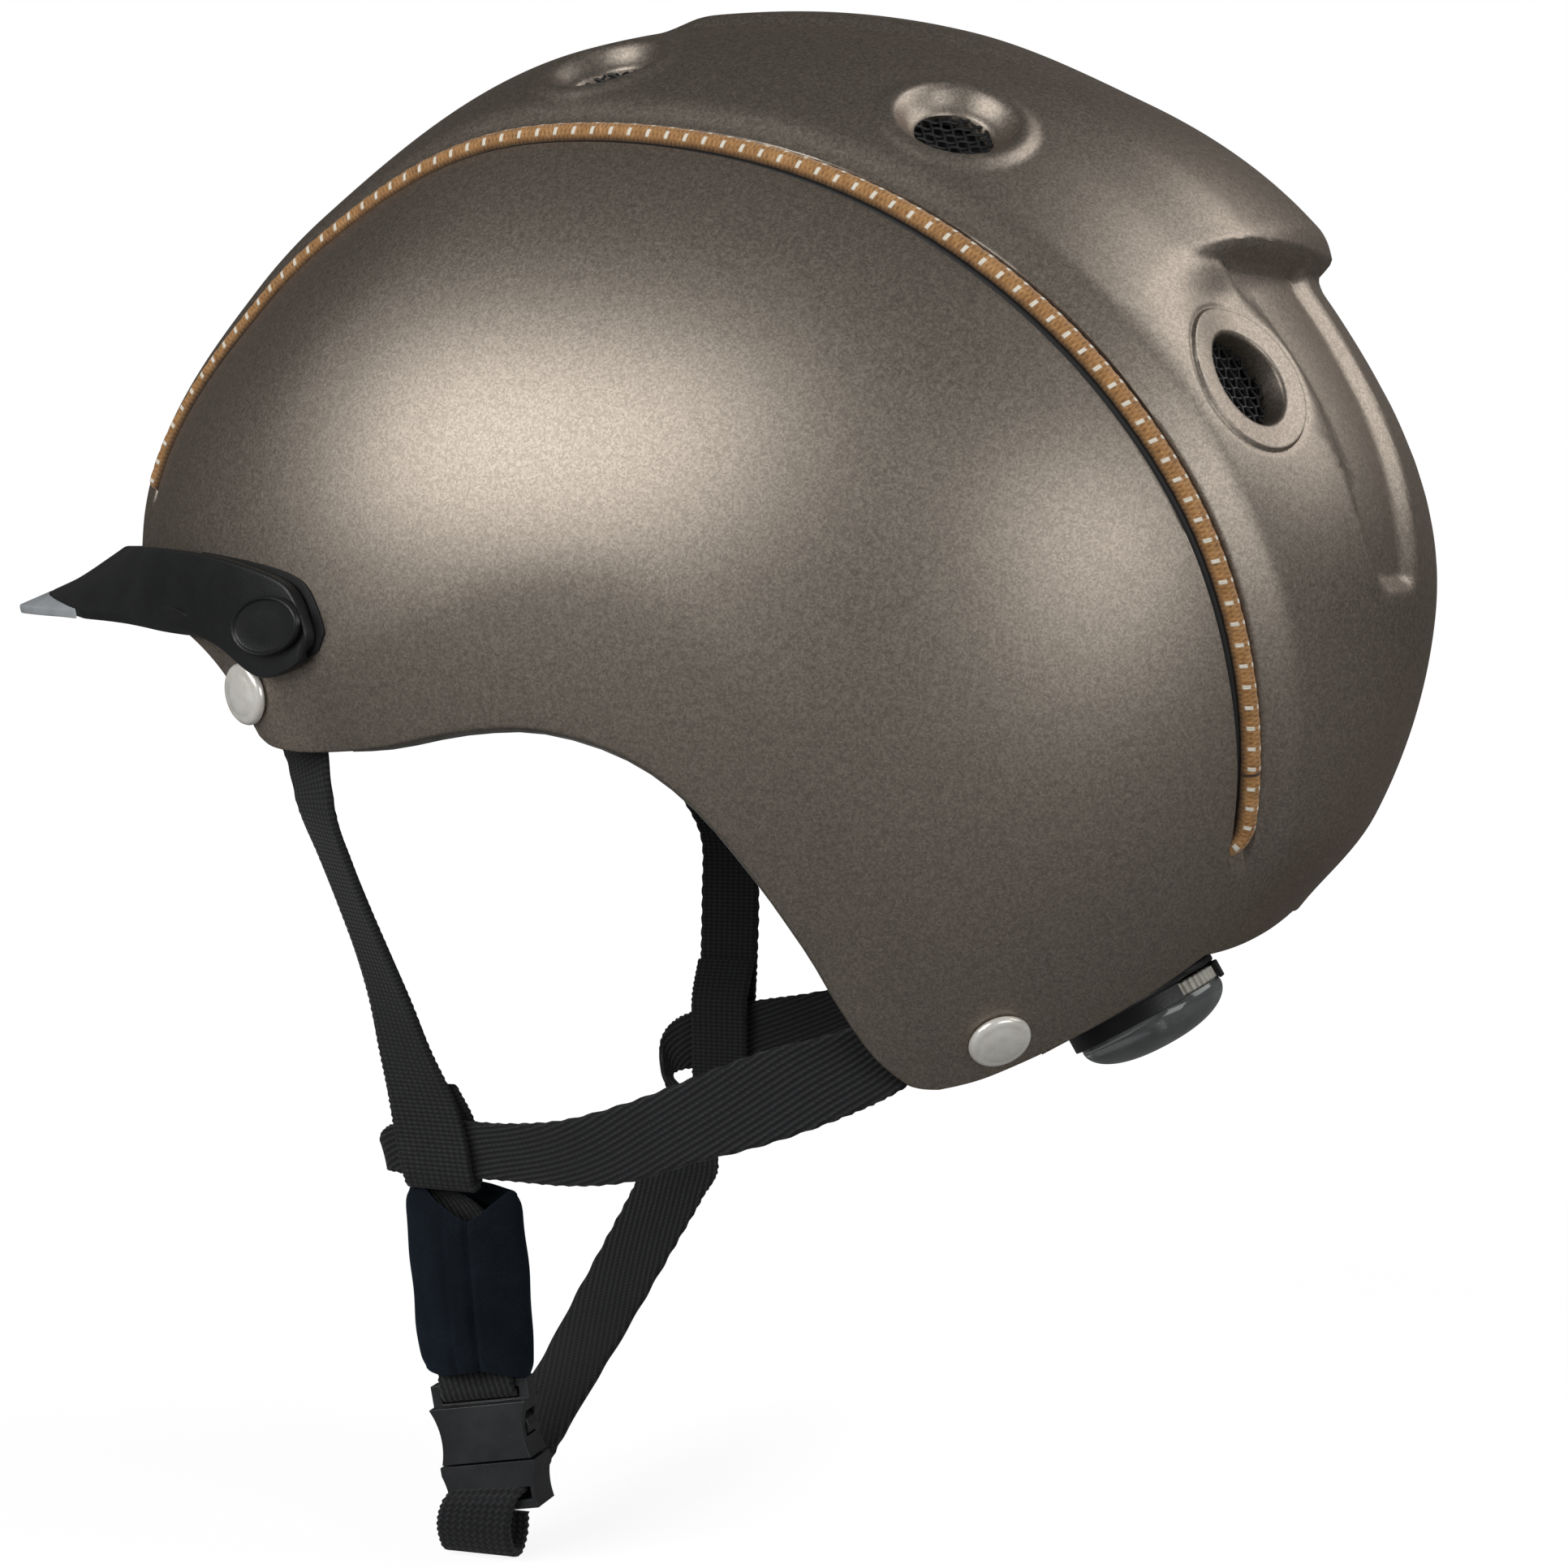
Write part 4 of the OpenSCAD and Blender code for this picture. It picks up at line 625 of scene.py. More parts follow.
def column_places(spacing):
    """Column positions about spacing mm apart, closer at the rims, the hood's lip and the ledge."""
    fine = np.linspace(0, COLUMN_STATIONS, 4401)
    turn = curve(CENTRE_TURN, fine)
    gap = spacing * (1 - 0.6 * sum(between(turn, *turns) for turns in CLOSE_TURNS))
    step = COLUMN_PITCH / ((gap[1:] + gap[:-1]) / 2) * np.diff(fine)
    count = np.concatenate([[0], np.cumsum(step)])
    even = np.interp(np.linspace(0, count[-1], int(round(count[-1])) + 1), count, fine)
    rim = RIM_STEPS / COLUMN_PITCH
    return np.concatenate([rim, even[1:-1], COLUMN_STATIONS - rim[::-1]])


def half_rows(us):
    """Rows of each column from the rim to the middle: close at the rim and the groove, even between."""
    length = side_length(us)[:, None]
    groove = np.stack([row_off(us, np.full_like(us, e)) for e in GROOVE_STEPS], 1)
    first, last, start = groove[:, :1], groove[:, -1:], RIM_STEPS[-1] / length
    side = start + (first - start) * np.linspace(0, 1, SIDE_ROWS + 1)[1:-1]
    crown = last + (2 - last) * np.linspace(0, 1, BAND_ROWS + 1)[1:]
    return np.concatenate([RIM_STEPS / length, side, groove, crown], 1)


def rim_drop(u, v):
    """Depth of the round over the shell's edge."""
    short = np.clip(RIM_ROUND - rim_distance(u, v), 0, RIM_ROUND)
    return RIM_ROUND - np.sqrt(RIM_ROUND ** 2 - short ** 2)


def loft(name, rings, sharp=50.0):
    """Closed solid through rings of points."""
    points, faces = capped(rings)
    return mesh_of(name, points, faces, sharp, outward=True)


def full_width(half):
    """Left half of a grid of points and its mirror image, joined at the middle row."""
    return np.concatenate([half, mirror_x(half[:, -2::-1])], 1)


def zipper(fine, coarse, where):
    """Triangles between a chain of indices and a coarser one, whose points lie at where on the first."""
    owner = np.searchsorted(where, np.arange(len(fine) - 1), side="right") - 1
    first = np.stack([fine[:-1], fine[1:], coarse[owner]], 1)
    second = np.stack([fine[where[1:]], coarse[1:], coarse[:-1]], 1)
    return np.concatenate([first, second])


def ring_of(i_low, i_high, j_low, j_high):
    """Grid places round a rectangle of cells, closed on its first place."""
    i = np.concatenate([np.arange(i_low, i_high), np.full(j_high - j_low, i_high),
                        np.arange(i_high, i_low, -1), np.full(j_high - j_low, i_low), [i_low]])
    j = np.concatenate([np.full(i_high - i_low, j_low), np.arange(j_low, j_high),
                        np.full(i_high - i_low, j_high), np.arange(j_high, j_low, -1), [j_low]])
    return i, j


def vent_patch(us, vs, number):
    """Round patch of finer rings that takes the place of a rectangle of cells round a vent. Returns the
    rectangle, its places, and the points of the outer and inner rings from the hole outwards."""
    vent, hole = VENTS[number], HOLE_R[number]
    place, _, _, normal = spot_axes(vent)
    gap = np.linalg.norm(smooth(us, vs) - place, axis=-1)
    i0, j0 = np.unravel_index(np.argmin(gap), gap.shape)
    start = (us[i0, j0], vs[i0, j0])
    _, _, first, second = solve_places(place, normal, np.zeros((1, 2)), start)
    flat = np.stack([(smooth(us, vs) - place) @ first, (smooth(us, vs) - place) @ second], -1)
    across, along = np.abs(flat[:, j0, 0]), np.abs(flat[i0, :, 1])
    i_low, i_high = i0, i0
    while across[i_low] < PATCH_REACH:
        i_low -= 1
    while across[i_high] < PATCH_REACH:
        i_high += 1
    j_low = j0 // COARSE * COARSE
    j_high = j_low
    while along[j_low] < PATCH_REACH:
        j_low -= COARSE
    while along[j_high] < PATCH_REACH:
        j_high += COARSE
    i, j = ring_of(i_low, i_high, j_low, j_high)
    edge = flat[i[:-1], j[:-1]]
    angle, reach = np.arctan2(edge[:, 1], edge[:, 0]), np.hypot(edge[:, 0], edge[:, 1])
    radii = hole + np.array(CROWN_RINGS if number < 2 else REAR_RINGS)
    radii = np.concatenate([np.broadcast_to(radii[:, None], (len(radii), len(reach))),
                            [mix(radii[-1], reach, 1 / 3), mix(radii[-1], reach, 2 / 3)]])
    wanted = np.stack([radii * np.cos(angle), radii * np.sin(angle)], -1)
    u, v, _, _ = solve_places(place, normal, wanted, start)
    height = crown_dish(radii) if number < 2 else rear_collar(radii)
    top = outer(u, v) + normal * height[..., None]
    under_radii = np.stack([np.full(len(reach), hole + 0.3), np.full(len(reach), hole + 3.0),
                            mix(hole + 3, reach, 0.5)])
    under = np.stack([under_radii * np.cos(angle), under_radii * np.sin(angle)], -1)
    u, v, _, _ = solve_places(place, normal, under, start)
    where = np.nonzero(j[:-1] % COARSE == 0)[0]
    return (i_low, i_high, j_low, j_high), (i, j), top, inner(u, v, SHELL_WALL)[:, where], where


def shell_mesh():
    """Outer skin with its relief, inner skin with a third of the rows, the walls at the rim, and a round
    patch of finer rings at each vent whose innermost ring turns down into the hole."""
    columns = column_places(COLUMN_SPACING)
    vs = half_rows(columns)
    us = np.broadcast_to(columns[:, None], vs.shape).copy()
    assert (vs.shape[1] - 1) % COARSE == 0
    top_half = outer(us, vs, -rim_drop(us, vs))
    top, under = full_width(top_half), full_width(inner(us, vs, SHELL_WALL)[:, ::COARSE])
    n, m = top.shape[:2]
    mc = under.shape[1]
    t = np.arange(n * m).reshape(n, m)
    b = n * m + np.arange(n * mc).reshape(n, mc)
    keep, keep_under = np.ones((n - 1, m - 1), bool), np.ones((n - 1, mc - 1), bool)
    points = [top.reshape(-1, 3), under.reshape(-1, 3)]
    count = n * (m + mc)
    rows = np.arange(m)
    faces = [np.stack([t[:-1, e], t[1:, e], b[1:, e], b[:-1, e]], 1) for e in (0, -1)]
    triangles = [zipper(t[e], b[e], rows[::COARSE]) for e in (0, -1)]
    for number in range(3):
        (i_low, i_high, j_low, j_high), (i, j), rings, rings_under, where = vent_patch(us, vs, number)
        for side in (1, -1):
            column = j if side > 0 else m - 1 - j
            low, high = (j_low, j_high) if side > 0 else (m - 1 - j_high, m - 1 - j_low)
            keep[i_low:i_high, low:high] = False
            keep_under[i_low:i_high, low // COARSE:high // COARSE] = False
            lips = []
            for made, ends in ((rings, t[i[:-1], column[:-1]]),
                               (rings_under, b[i[:-1], column[:-1] // COARSE][where])):
                index = count + np.arange(made.shape[0] * made.shape[1]).reshape(made.shape[:2])
                count += index.size
                index = np.concatenate([index, ends[None]])
                faces.append(quads(*index.shape, wrap_cols=True, base=index))
                points.append(sided(made, side).reshape(-1, 3))
                lips.append(np.append(index[0], index[0, 0]))
            triangles.append(zipper(*lips, np.append(where, len(lips[0]) - 1)))
    faces += [quads(n, m)[keep.ravel()], quads(n, mc, base=n * m)[keep_under.ravel()]]
    return mesh_of("shell", np.concatenate(points), faces + triangles, sharp=40, outward=True)


finish_piece(shell_mesh(), shell_paint(), node="outer_shell")


# Piping

PIPING_START = 0.58
PIPING_END = 10.6
PIPING_SEAT = 0.3
TICK_PITCH = 4.0
PATH_STEP = 0.4
CURL = 8.0
CURL_SIDE = 2.4
CURL_DEEP = 3.2
CORD_ROUND = 2.0
PINCH = 0.045
STRAND_PITCH = 0.9
STRAND_LEAN = 0.011
SHADOW_STRIP_R = 0.75
SHADOW_STRIP_OUT = 0.5
SHADOW_STRIP_DEEP = 0.62


def piping_line():
    """Centre line of the cord in its groove, every PATH_STEP mm, the outward directions along it and the
    lengths. Over its last CURL mm it bends to the side panel and dives into its hole."""
    fine = np.linspace(PIPING_START, PIPING_END, 3001)
    d = direction(fine, 1.0)
    path = CENTRE + d * (broad(d) - GROOVE_DEPTH + PIPING_SEAT + PIPING_D / 2)[:, None]
    run = np.concatenate([[0], np.cumsum(np.linalg.norm(np.diff(path, axis=0), axis=1))])
    places = np.linspace(0, run[-1], int(run[-1] / PATH_STEP) + 1)
    at = np.stack([np.interp(places, run, path[:, k]) for k in range(3)], -1)
    out = unit(np.stack([np.interp(places, run, d[:, k]) for k in range(3)], -1))
    side = unit(np.cross(np.gradient(at, axis=0), out))
    side = side * np.sign(side[:, :1])
    t = np.clip((places - places[-1] + CURL) / CURL, 0, 1)[:, None]
    return at + side * CURL_SIDE * t ** 2 - out * CURL_DEEP * t ** 3, out, places


def piping_cord(name, side):
    """Braided cord with a round section, pinched a little under each pair of stitches. Its UV is the
    length along it in mm and the angle from its outward side in degrees."""
    path, out, places = piping_line()
    run = unit(np.gradient(path, axis=0))
    across = unit(np.cross(run, out))
    up = np.cross(across, run)
    angle = np.linspace(-180, 180, 25)
    w = np.radians(angle)
    left = np.minimum(places, places[-1] - places)
    end = np.sqrt(np.clip(1 - np.clip(1 - left / CORD_ROUND, 0, 1) ** 2, 0.0004, 1))
    pinch = 1 - PINCH * np.abs(np.cos(np.pi * places / TICK_PITCH)) ** 10
    ring = up[:, None] * np.cos(w)[:, None] + across[:, None] * np.sin(w)[:, None]
    rings = path[:, None] + ring * (PIPING_D / 2 * end * pinch)[:, None, None]
    uv = np.stack(np.broadcast_arrays(places[:, None], angle[None]), -1).reshape(-1, 2)
    uv = np.concatenate([uv, [[places[0], 0], [places[-1], 0]]])
    ends = np.array([path[0] - run[0] * 0.05, path[-1] + run[-1] * 0.05])
    points, faces = capped(rings, ends, wrap=False)
    return mesh_of(name, sided(points, side), faces, sharp=80, uv=uv, merge=DOUBLES / 10)


def groove_shadow_strip(name, side):
    """Thin black strip in the groove beside the cord, on the side panel's side: painted shadow that darkens
    the gap there.
    """
    path, out, _ = piping_line()
    path, out = path[8:-22], out[8:-22]
    across = unit(np.cross(np.gradient(path, axis=0), out))
    across = across * np.sign(across[:, :1])
    low = path + across * (PIPING_D / 2 + SHADOW_STRIP_OUT) - out * SHADOW_STRIP_DEEP
    thin = np.sqrt(np.sin(np.linspace(0.004, np.pi - 0.004, len(low))).clip(0, 0.3) / 0.3)
    return loft(name, sided(tube(low, SHADOW_STRIP_R * thin, 8, up=out), side), 80)


def uv_parts(add):
    """The two parts of the UV as sockets."""
    parts = add("ShaderNodeSeparateXYZ", [add("ShaderNodeUVMap", uv_map="UVMap")], out=None).outputs
    return parts["X"], parts["Y"]


def piping_braid():
    """Braided polyester in two tans, with a pair of cream stitches every 4 mm, one at either edge. Painted
    shade darkens the colour a little between the strands, and more on the cord's sides where it sinks into
    its groove.
    """
    mat, add = material("braided_piping")
    coords = add("ShaderNodeTexCoord", out="Object")
    along, angle = uv_parts(add)
    around = add("ShaderNodeMath", [angle], operation="ABSOLUTE")
    turns = 2 * math.pi / STRAND_PITCH
    ways = [weighted(add, (along, turns), (angle, lean * turns)) for lean in (STRAND_LEAN, -STRAND_LEAN)]
    strands = [add("ShaderNodeMath", [way], operation="SINE") for way in ways]
    braid = add("ShaderNodeMath", strands, operation="MAXIMUM")
    fibres = add("ShaderNodeTexNoise", Vector=coords, **grain(0.6, 2.0, 0.6))
    tufts = add("ShaderNodeTexNoise", Vector=coords, **grain(2.4, 1.0))
    # The strand pattern darkens the colour between the strands and lightens their crests: painted shade.
    shade = weighted(add, (braid, 0.10), (fibres, 0.5), (tufts, 0.38))
    tans = [(0.2, "#6B4A28"), (0.45, "#A3743F"), (0.62, "#BC8C56"), (0.8, "#D2AB7A")]
    colour = add("ShaderNodeValToRGB", [shade], stops=tans)
    skewed = weighted(add, (along, 1.0), (angle, 0.006))
    place = add("ShaderNodeMath", [skewed, TICK_PITCH], operation="FLOORED_MODULO")
    tick = add("ShaderNodeMath", [window(add, place, 1.62, 2.38, 0.1), window(add, around, 14.0, 58.0, 4.0)],
               operation="MULTIPLY")
    join = window(add, along, JOIN_AT - 0.3, JOIN_AT + 0.3, 0.15)
    # Painted shade: the cord's sides, where it sinks into its groove, darken toward dark brown.
    painted_side_shade = add("ShaderNodeMapRange", Value=around, From_Min=48.0, From_Max=92.0, To_Max=0.85)
    for factor, tone in ((tick, "#EDE6D6"), (painted_side_shade, "#2E1E10"), (join, "#3A2618")):
        colour = add("ShaderNodeMix", {0: factor, 6: colour, 7: tone}, out=2, data_type="RGBA")
    height = weighted(add, (braid, 0.35), (tick, 0.9), (tufts, 0.5))
    return surface(mat, add, Base_Color=colour, Roughness=0.72, Sheen_Weight=0.25,
                   Normal=add("ShaderNodeBump", Height=height, Strength=0.8, Distance=0.00012))


JOIN_AT = piping_line()[2][-1] - 17.5
braid_tan = piping_braid()
# Near-black plastic for the thin strips in the piping grooves and under the visor's arms: painted shadow in
# those gaps.
gap_shadow_black = moulded_plastic("painted_gap_shadow", ["#0B0B0C", "#101011", "#151516"], 0.6, 0.5, 0.00004)
for label, side in SIDES:
    finish_piece(piping_cord(f"piping_{label}_cord", side), braid_tan, node=f"piping_{label}")
# Painted shadow: a black strip in each piping groove, beside the cord.
for label, side in SIDES:
    finish_piece(groove_shadow_strip(f"piping_shadow_strip_{label}", side), gap_shadow_black)


# Visor

VISOR_UPPER = [[0, -129, 54], [22, -127.5, 54], [42, -121.5, 54.3], [58, -112.5, 54.5], [71, -101, 54.5],
               [82, -89, 54], [90.5, -77, 52.5], [97, -64, 49], [99.5, -56, 43]]
LIP_LEVEL = [40, 40.5, 40.8, 40.8, 40.2, 38.4]
VISOR_LIP = [[0, 0], [25, 5.5], [45, 21], [59, 38], [70, 56], [79.5, 73]]
ARM_LOWER = [[86.5, -82.5, 37], [92, -71, 31.5], [96.5, -61, 31.5]]
VISOR_ROOT = [[0, -131.5, 47], [24, -129, 47], [45, -122, 47], [61, -112.5, 46], [74, -100, 44.5],
              [82, -90, 42], [87, -82, 39], [92.5, -71, 35], [97, -61.5, 35.5]]
LIP_FRONT = -170.0
ARM_THICK = 3.4
LIP_THICK = 1.8
VISOR_GAP = 0.9
TIP_END = 3.2
TIP_GAP = 0.008
TIP_SHARE = 0.33
RIDGE = 0.6
ROOT_LIFT = 2.4
LIP_POINTS = [[p[0], LIP_FRONT + p[1], z] for p, z in zip(VISOR_LIP, LIP_LEVEL)] + ARM_LOWER
CAP_SPOT = [-7.6, 54.2]
CAP_TURN = 8.0
CAP_STRETCH = (1.16, 0.66)
CAP_PROFILE = [[0, 0.15], [8.35, 0.15], [8.45, 0.3], [8.3, 1.0], [8.15, 1.2], [7.9, 1.3], [7.6, 1.22],
               [7.4, 1.0], [7.25, 0.8], [7.0, 0.72], [4, 0.8], [0, 0.85]]


def on_brow(p, off):
    """Point of the outer skin towards p, off mm out."""
    d = unit(p - DESIGN_CENTRE)
    _, band = band_at(turn_of(d), lean_of(d))
    return CENTRE + d * (broad(d) + band + off)[..., None]


def visor_parts(k, gap=0.0):
    """Named points of the visor's section at each place k, from the middle (0) to the arm's end (8)."""
    w = ease(k, 4.5, 6)[:, None]
    u, l, r = curve(VISOR_UPPER, k), curve(LIP_POINTS, k), curve(VISOR_ROOT, k)
    a, b = on_brow(u, VISOR_GAP), on_brow(u, ARM_THICK)
    up = np.array([0, 0, 1.0])
    tip_top = mix(l + up * LIP_THICK / 2, on_brow(l, ARM_THICK), w)
    tip_low = mix(l - up * LIP_THICK / 2 + [0, 0.4, 0], on_brow(l, VISOR_GAP), w)
    back_low = mix(on_brow(r, VISOR_GAP + ROOT_LIFT), on_brow(mix(r, l, 0.4), VISOR_GAP), w)
    back = on_brow(r, VISOR_GAP)
    mid_top = mix(mix(b, tip_top, 0.5) - up * RIDGE, on_brow(mix(u, l, 0.5), ARM_THICK), w)
    mid_low = mix(mix(tip_low, back_low, 0.5) + up * RIDGE, on_brow(mix(r, l, 0.7), VISOR_GAP), w)
    f = np.maximum(0, TIP_SHARE * np.maximum(0, 1 - (k / TIP_END) ** 2) - gap)[:, None]
    return dict(a=a, b=b, mid_top=mid_top, top=mix(tip_top, mid_top, 2 * f), tip_top=tip_top,
                tip_low=tip_low, low=mix(tip_low, mid_low, 2 * f), mid_low=mid_low, back_low=back_low,
                back=back)


def rounded_ring(corners, radius, bends=(), steps=5):
    """Closed sections through the corners (sections, corners, 3), each corner a smooth bend of its radius
    in mm. A corner that is one of bends is bent over nearly half of both its sides."""
    before, after = np.roll(corners, 1, 1) - corners, np.roll(corners, -1, 1) - corners
    limits = np.array([0.46 if i in bends else 0.3 for i in range(corners.shape[1])])[None, :, None]
    wide = np.array([1e3 if i in bends else radius for i in range(corners.shape[1])])[None, :, None]
    p, q = [corners + way * np.minimum(limits, wide / (np.linalg.norm(way, axis=-1, keepdims=True) + 1e-6))
            for way in (before, after)]
    t = np.linspace(0, 1, steps)[:, None, None, None]
    bent = (1 - t) ** 2 * p + 2 * t * (1 - t) * corners + t ** 2 * q
    return np.moveaxis(bent, 0, 2).reshape(len(corners), -1, 3)


def both_halves(rings):
    return np.concatenate([mirror_x(rings[:0:-1]), rings])


def end_shrink(rings, places, last, reach, amount):
    """Draws the rings in towards their middle over the last reach of places, as a rounded edge."""
    t = np.clip((places - last + reach) / reach, 0, 1)[:, None, None]
    middle = rings.mean(1, keepdims=True)
    pull = amount * (1 - np.sqrt(1 - 0.98 * t ** 2))
    size = np.linalg.norm(rings - middle, axis=-1, keepdims=True)
    return middle + (rings - middle) * (1 - np.minimum(0.6, pull / np.maximum(size, 1e-6)))


def end_round(rings, k, reach, keep):
    """Draws the last rings in along their long way, so that the arm's outline ends in a half ellipse."""
    t = np.clip((k - 8 + reach) / reach, 0, 1)[:, None, None]
    half = rings.shape[1] // 2
    long = unit((rings[:, :half // 2].mean(1) - rings[:, half:half + half // 2].mean(1)))[:, None]
    middle = rings.mean(1, keepdims=True)
    off = ((rings - middle) * long).sum(-1, keepdims=True)
    return rings + long * off * (np.sqrt(1 - (1 - keep ** 2) * t ** 2) - 1)


def visor_mesh():
    """Lip and arms in one smooth moulding: rounded edges, a soft ridge along the lip, rounded ends."""
    k = np.concatenate([np.linspace(0, 6.9, 88), np.linspace(6.9, 8, 34)[1:]])
    p = visor_parts(k)
    names = ["a", "b", "mid_top", "top", "low", "mid_low", "back_low", "back"]
    rings = rounded_ring(np.stack([p[n] for n in names], 1), 0.7, bends=(5,))
    rings = end_shrink(end_round(rings, k, 1.0, 0.3), k, 8, 0.12, 0.8)
    return loft("visor_moulding", both_halves(rings))


def arm_shadow_strip(name, side):
    """Thin black strip under an arm, a little wider than it, in its gap to the shell: painted shadow of that
    gap.
    """
    k = np.linspace(5.0, 8.1, 60)
    u, low = curve(VISOR_UPPER, k), mix(curve(VISOR_ROOT, k), curve(LIP_POINTS, k), 0.75)
    wider = u + unit(u - low) * (0.1 + 1.0 * ease(k, 5.4, 7.2))[:, None]
    corners = [(wider, 0.1), (wider, 0.5), (low, 0.5), (low, 0.1)]
    rings = rounded_ring(np.stack([on_brow(p, off) for p, off in corners], 1), 0.15)
    return loft(name, sided(end_round(rings, k - 0.1, 1.0, 0.3), side))


def tip_mesh():
    """Grey tip let into the lip's front."""
    p = visor_parts(np.linspace(0, 3, 60), TIP_GAP)
    corners = np.stack([p[n] for n in ("low", "tip_low", "tip_top", "top")], 1)
    return loft("visor_tip_moulding", both_halves(rounded_ring(corners, 0.5)))


def spun(x, y, degrees):
    """Plane coordinates turned anticlockwise."""
    c, s = math.cos(math.radians(degrees)), math.sin(math.radians(degrees))
    return x * c - y * s, x * s + y * c


def oval_cap(name, side):
    """Oval cap over the visor's stud: a raised rim round a shallow recess, both with rounded edges."""

    def place(pts):
        x, y = spun(pts[..., 0] * CAP_STRETCH[0], pts[..., 1] * CAP_STRETCH[1], CAP_TURN)
        return on_skin(CAP_SPOT, np.stack([x, y, pts[..., 2] + ARM_THICK + 0.3], -1), side)

    return lathe(name, CAP_PROFILE, 96, 50, place)


visor_black = moulded_plastic("visor_matt_black", ["#121314", "#18191A", "#202122"], 0.42, 0.45, 0.00007)
visor_grey = moulded_plastic("visor_tip_grey", ["#999DA0", "#A7ABAE", "#B2B6B9"], 0.5, 0.5, 0.00004)
finish_piece(visor_mesh(), visor_black, node="visor")
finish_piece(tip_mesh(), visor_grey, node="visor_tip")
# Painted shadow: a black strip under each visor arm, in its gap to the shell.
for label, side in SIDES:
    finish_piece(arm_shadow_strip(f"visor_shadow_strip_{label}", side), gap_shadow_black)
for label, side in SIDES:
    finish_piece(oval_cap(f"visor_cap_{label}", side), visor_black, node="visor_caps")


# Rivets

RIVETS = [[-16.1, 47.1], [232.7, 33]]
RIVET_R = 6.0
RIVET_PROFILE = [[0, 0.12], [5.75, 0.12], [6, 0.35], [6.02, 0.75], [5.85, 1.2], [5.5, 1.55], [4.9, 1.74],
                 [4.3, 1.78], [4.1, 1.86], [3.4, 2.12], [2.4, 2.32], [1.2, 2.42], [0, 2.45]]


def plated_metal(name):
    """Bright plate over pressed metal, softly polished, with faint wear."""
    mat, add = material(name)
    coords = add("ShaderNodeTexCoord", out="Object")
    patches, wear, fine = [add("ShaderNodeTexNoise", Vector=coords, **grain(*size))
                           for size in ((2.5, 4.0, 0.65), (0.8, 3.0, 0.6), (0.5,))]
    tones = [(0.3, "#E9E5D9"), (0.55, "#F5F2EA"), (0.75, "#FBFAF4")]
    return surface(
        mat, add, Base_Color=add("ShaderNodeValToRGB", [patches], stops=tones), Metallic=0.3,
        Roughness=add("ShaderNodeMapRange", Value=wear, To_Min=0.14, To_Max=0.34),
        Normal=add("ShaderNodeBump", Height=fine, Strength=0.4, Distance=0.00001))


def rivet_cap(name, spot, side):
    """Pressed cap: a rolled edge, a shallow step and a slightly domed top."""
    return lathe(name, RIVET_PROFILE, 72, 60, lambda points: on_skin(spot, points, side))


nickel = plated_metal("nickel_plate")
for end, spot in zip(("front", "rear"), RIVETS):
    for label, side in SIDES:
        cap = rivet_cap(f"rivet_cap_{end}_{label}", spot, side)
        finish_piece(cap, nickel, node="rivet_caps")


# Straps

WEB_WIDTH = 16.0
WEB_THICK = 1.5
STRAP_TURN = [34, -68]
STRAP_DEPTH = -SHELL_WALL - 1.0 - WEB_THICK / 2
SKIRT_DEEP = [2, 2.2]
FRONT_LEFT_A = [[78.5, -72, 5], [76, -69, -4.5], [74, -66, -14], [71.5, -63.6, -23.5], [69.5, -61.8, -33],
                [68, -60.6, -43], [67.2, -59.2, -52], [66.8, -58, -60], [66.4, -56.5, -68]]
FRONT_LEFT_B = [[86, -61.2, 5], [84, -59, -4.5], [81.5, -56.2, -14], [78.5, -53.3, -23.5], [75, -50.6, -33],
                [71.5, -48, -43], [68.2, -45, -52], [67, -42.8, -60], [66.6, -41.5, -68.2]]
LOOP_A = [[64, -56.5, -70.7], [61.6, -56.6, -68], [61.3, -57.8, -59], [65.2, -59, -50.5]]
LOOP_B = [[64, -41.5, -71], [61.6, -41.6, -68], [61.3, -43, -59], [66, -45, -50.5]]
FRONT_RIGHT_A = [[-81, -59.5, 3], [-78.5, -51, -5], [-75, -44, -15], [-72.5, -42.8, -28], [-69.5, -42, -41],
                 [-68, -41.7, -52], [-67.5, -41.5, -62], [-67, -41.5, -69]]
FRONT_RIGHT_B = [[-86.5, -46, 8], [-82, -37, -3], [-77.5, -31, -15], [-73.5, -29, -28], [-69.5, -28, -41],
                 [-68, -28, -52], [-67.5, -28, -62], [-67, -28, -69]]
LOOP_RIGHT_A = [[-64.6, -41.5, -72], [-62, -41.5, -69.5], [-61.6, -41.5, -60], [-62, -41.6, -51],
                [-67, -41.8, -43]]
LOOP_RIGHT_B = [[-64.6, -28, -72], [-62, -28, -69.5], [-61.6, -28, -60], [-62, -28, -51], [-67, -28, -43]]
REAR_LEFT_T = [[75, 35, -34.5], [76, 22, -38.2], [75, 8, -44], [72.5, -6, -50], [69.5, -21, -55],
               [65.8, -34, -57.2], [64.6, -46, -57.5], [63.6, -58, -58.5], [61, -63.5, -62],
               [58.8, -61, -66.5], [60.4, -54, -71.5], [60.6, -52.9, -79], [60.4, -52.3, -88],
               [60, -51.8, -97]]
REAR_LEFT_B = [[69, 46, -45.8], [74, 36.5, -50.5], [75.5, 22.5, -56], [74, 7, -61], [71, -7, -66],
               [66.8, -21, -68.5], [64.8, -35, -68.8], [64.6, -48, -68.8], [63.2, -59, -68.8],
               [60.3, -60.5, -69.5], [60, -46, -73.5], [60.6, -38.6, -79.5], [60.4, -37.4, -88],
               [60, -36.6, -97]]
BAR_WRAP = [[1.3, 15], [2.2, 10.8], [2.75, 7.2], [2.45, 5.3], [0, 4.75], [-2.45, 5.3], [-2.75, 7.2],
            [-2.6, 8.6]]
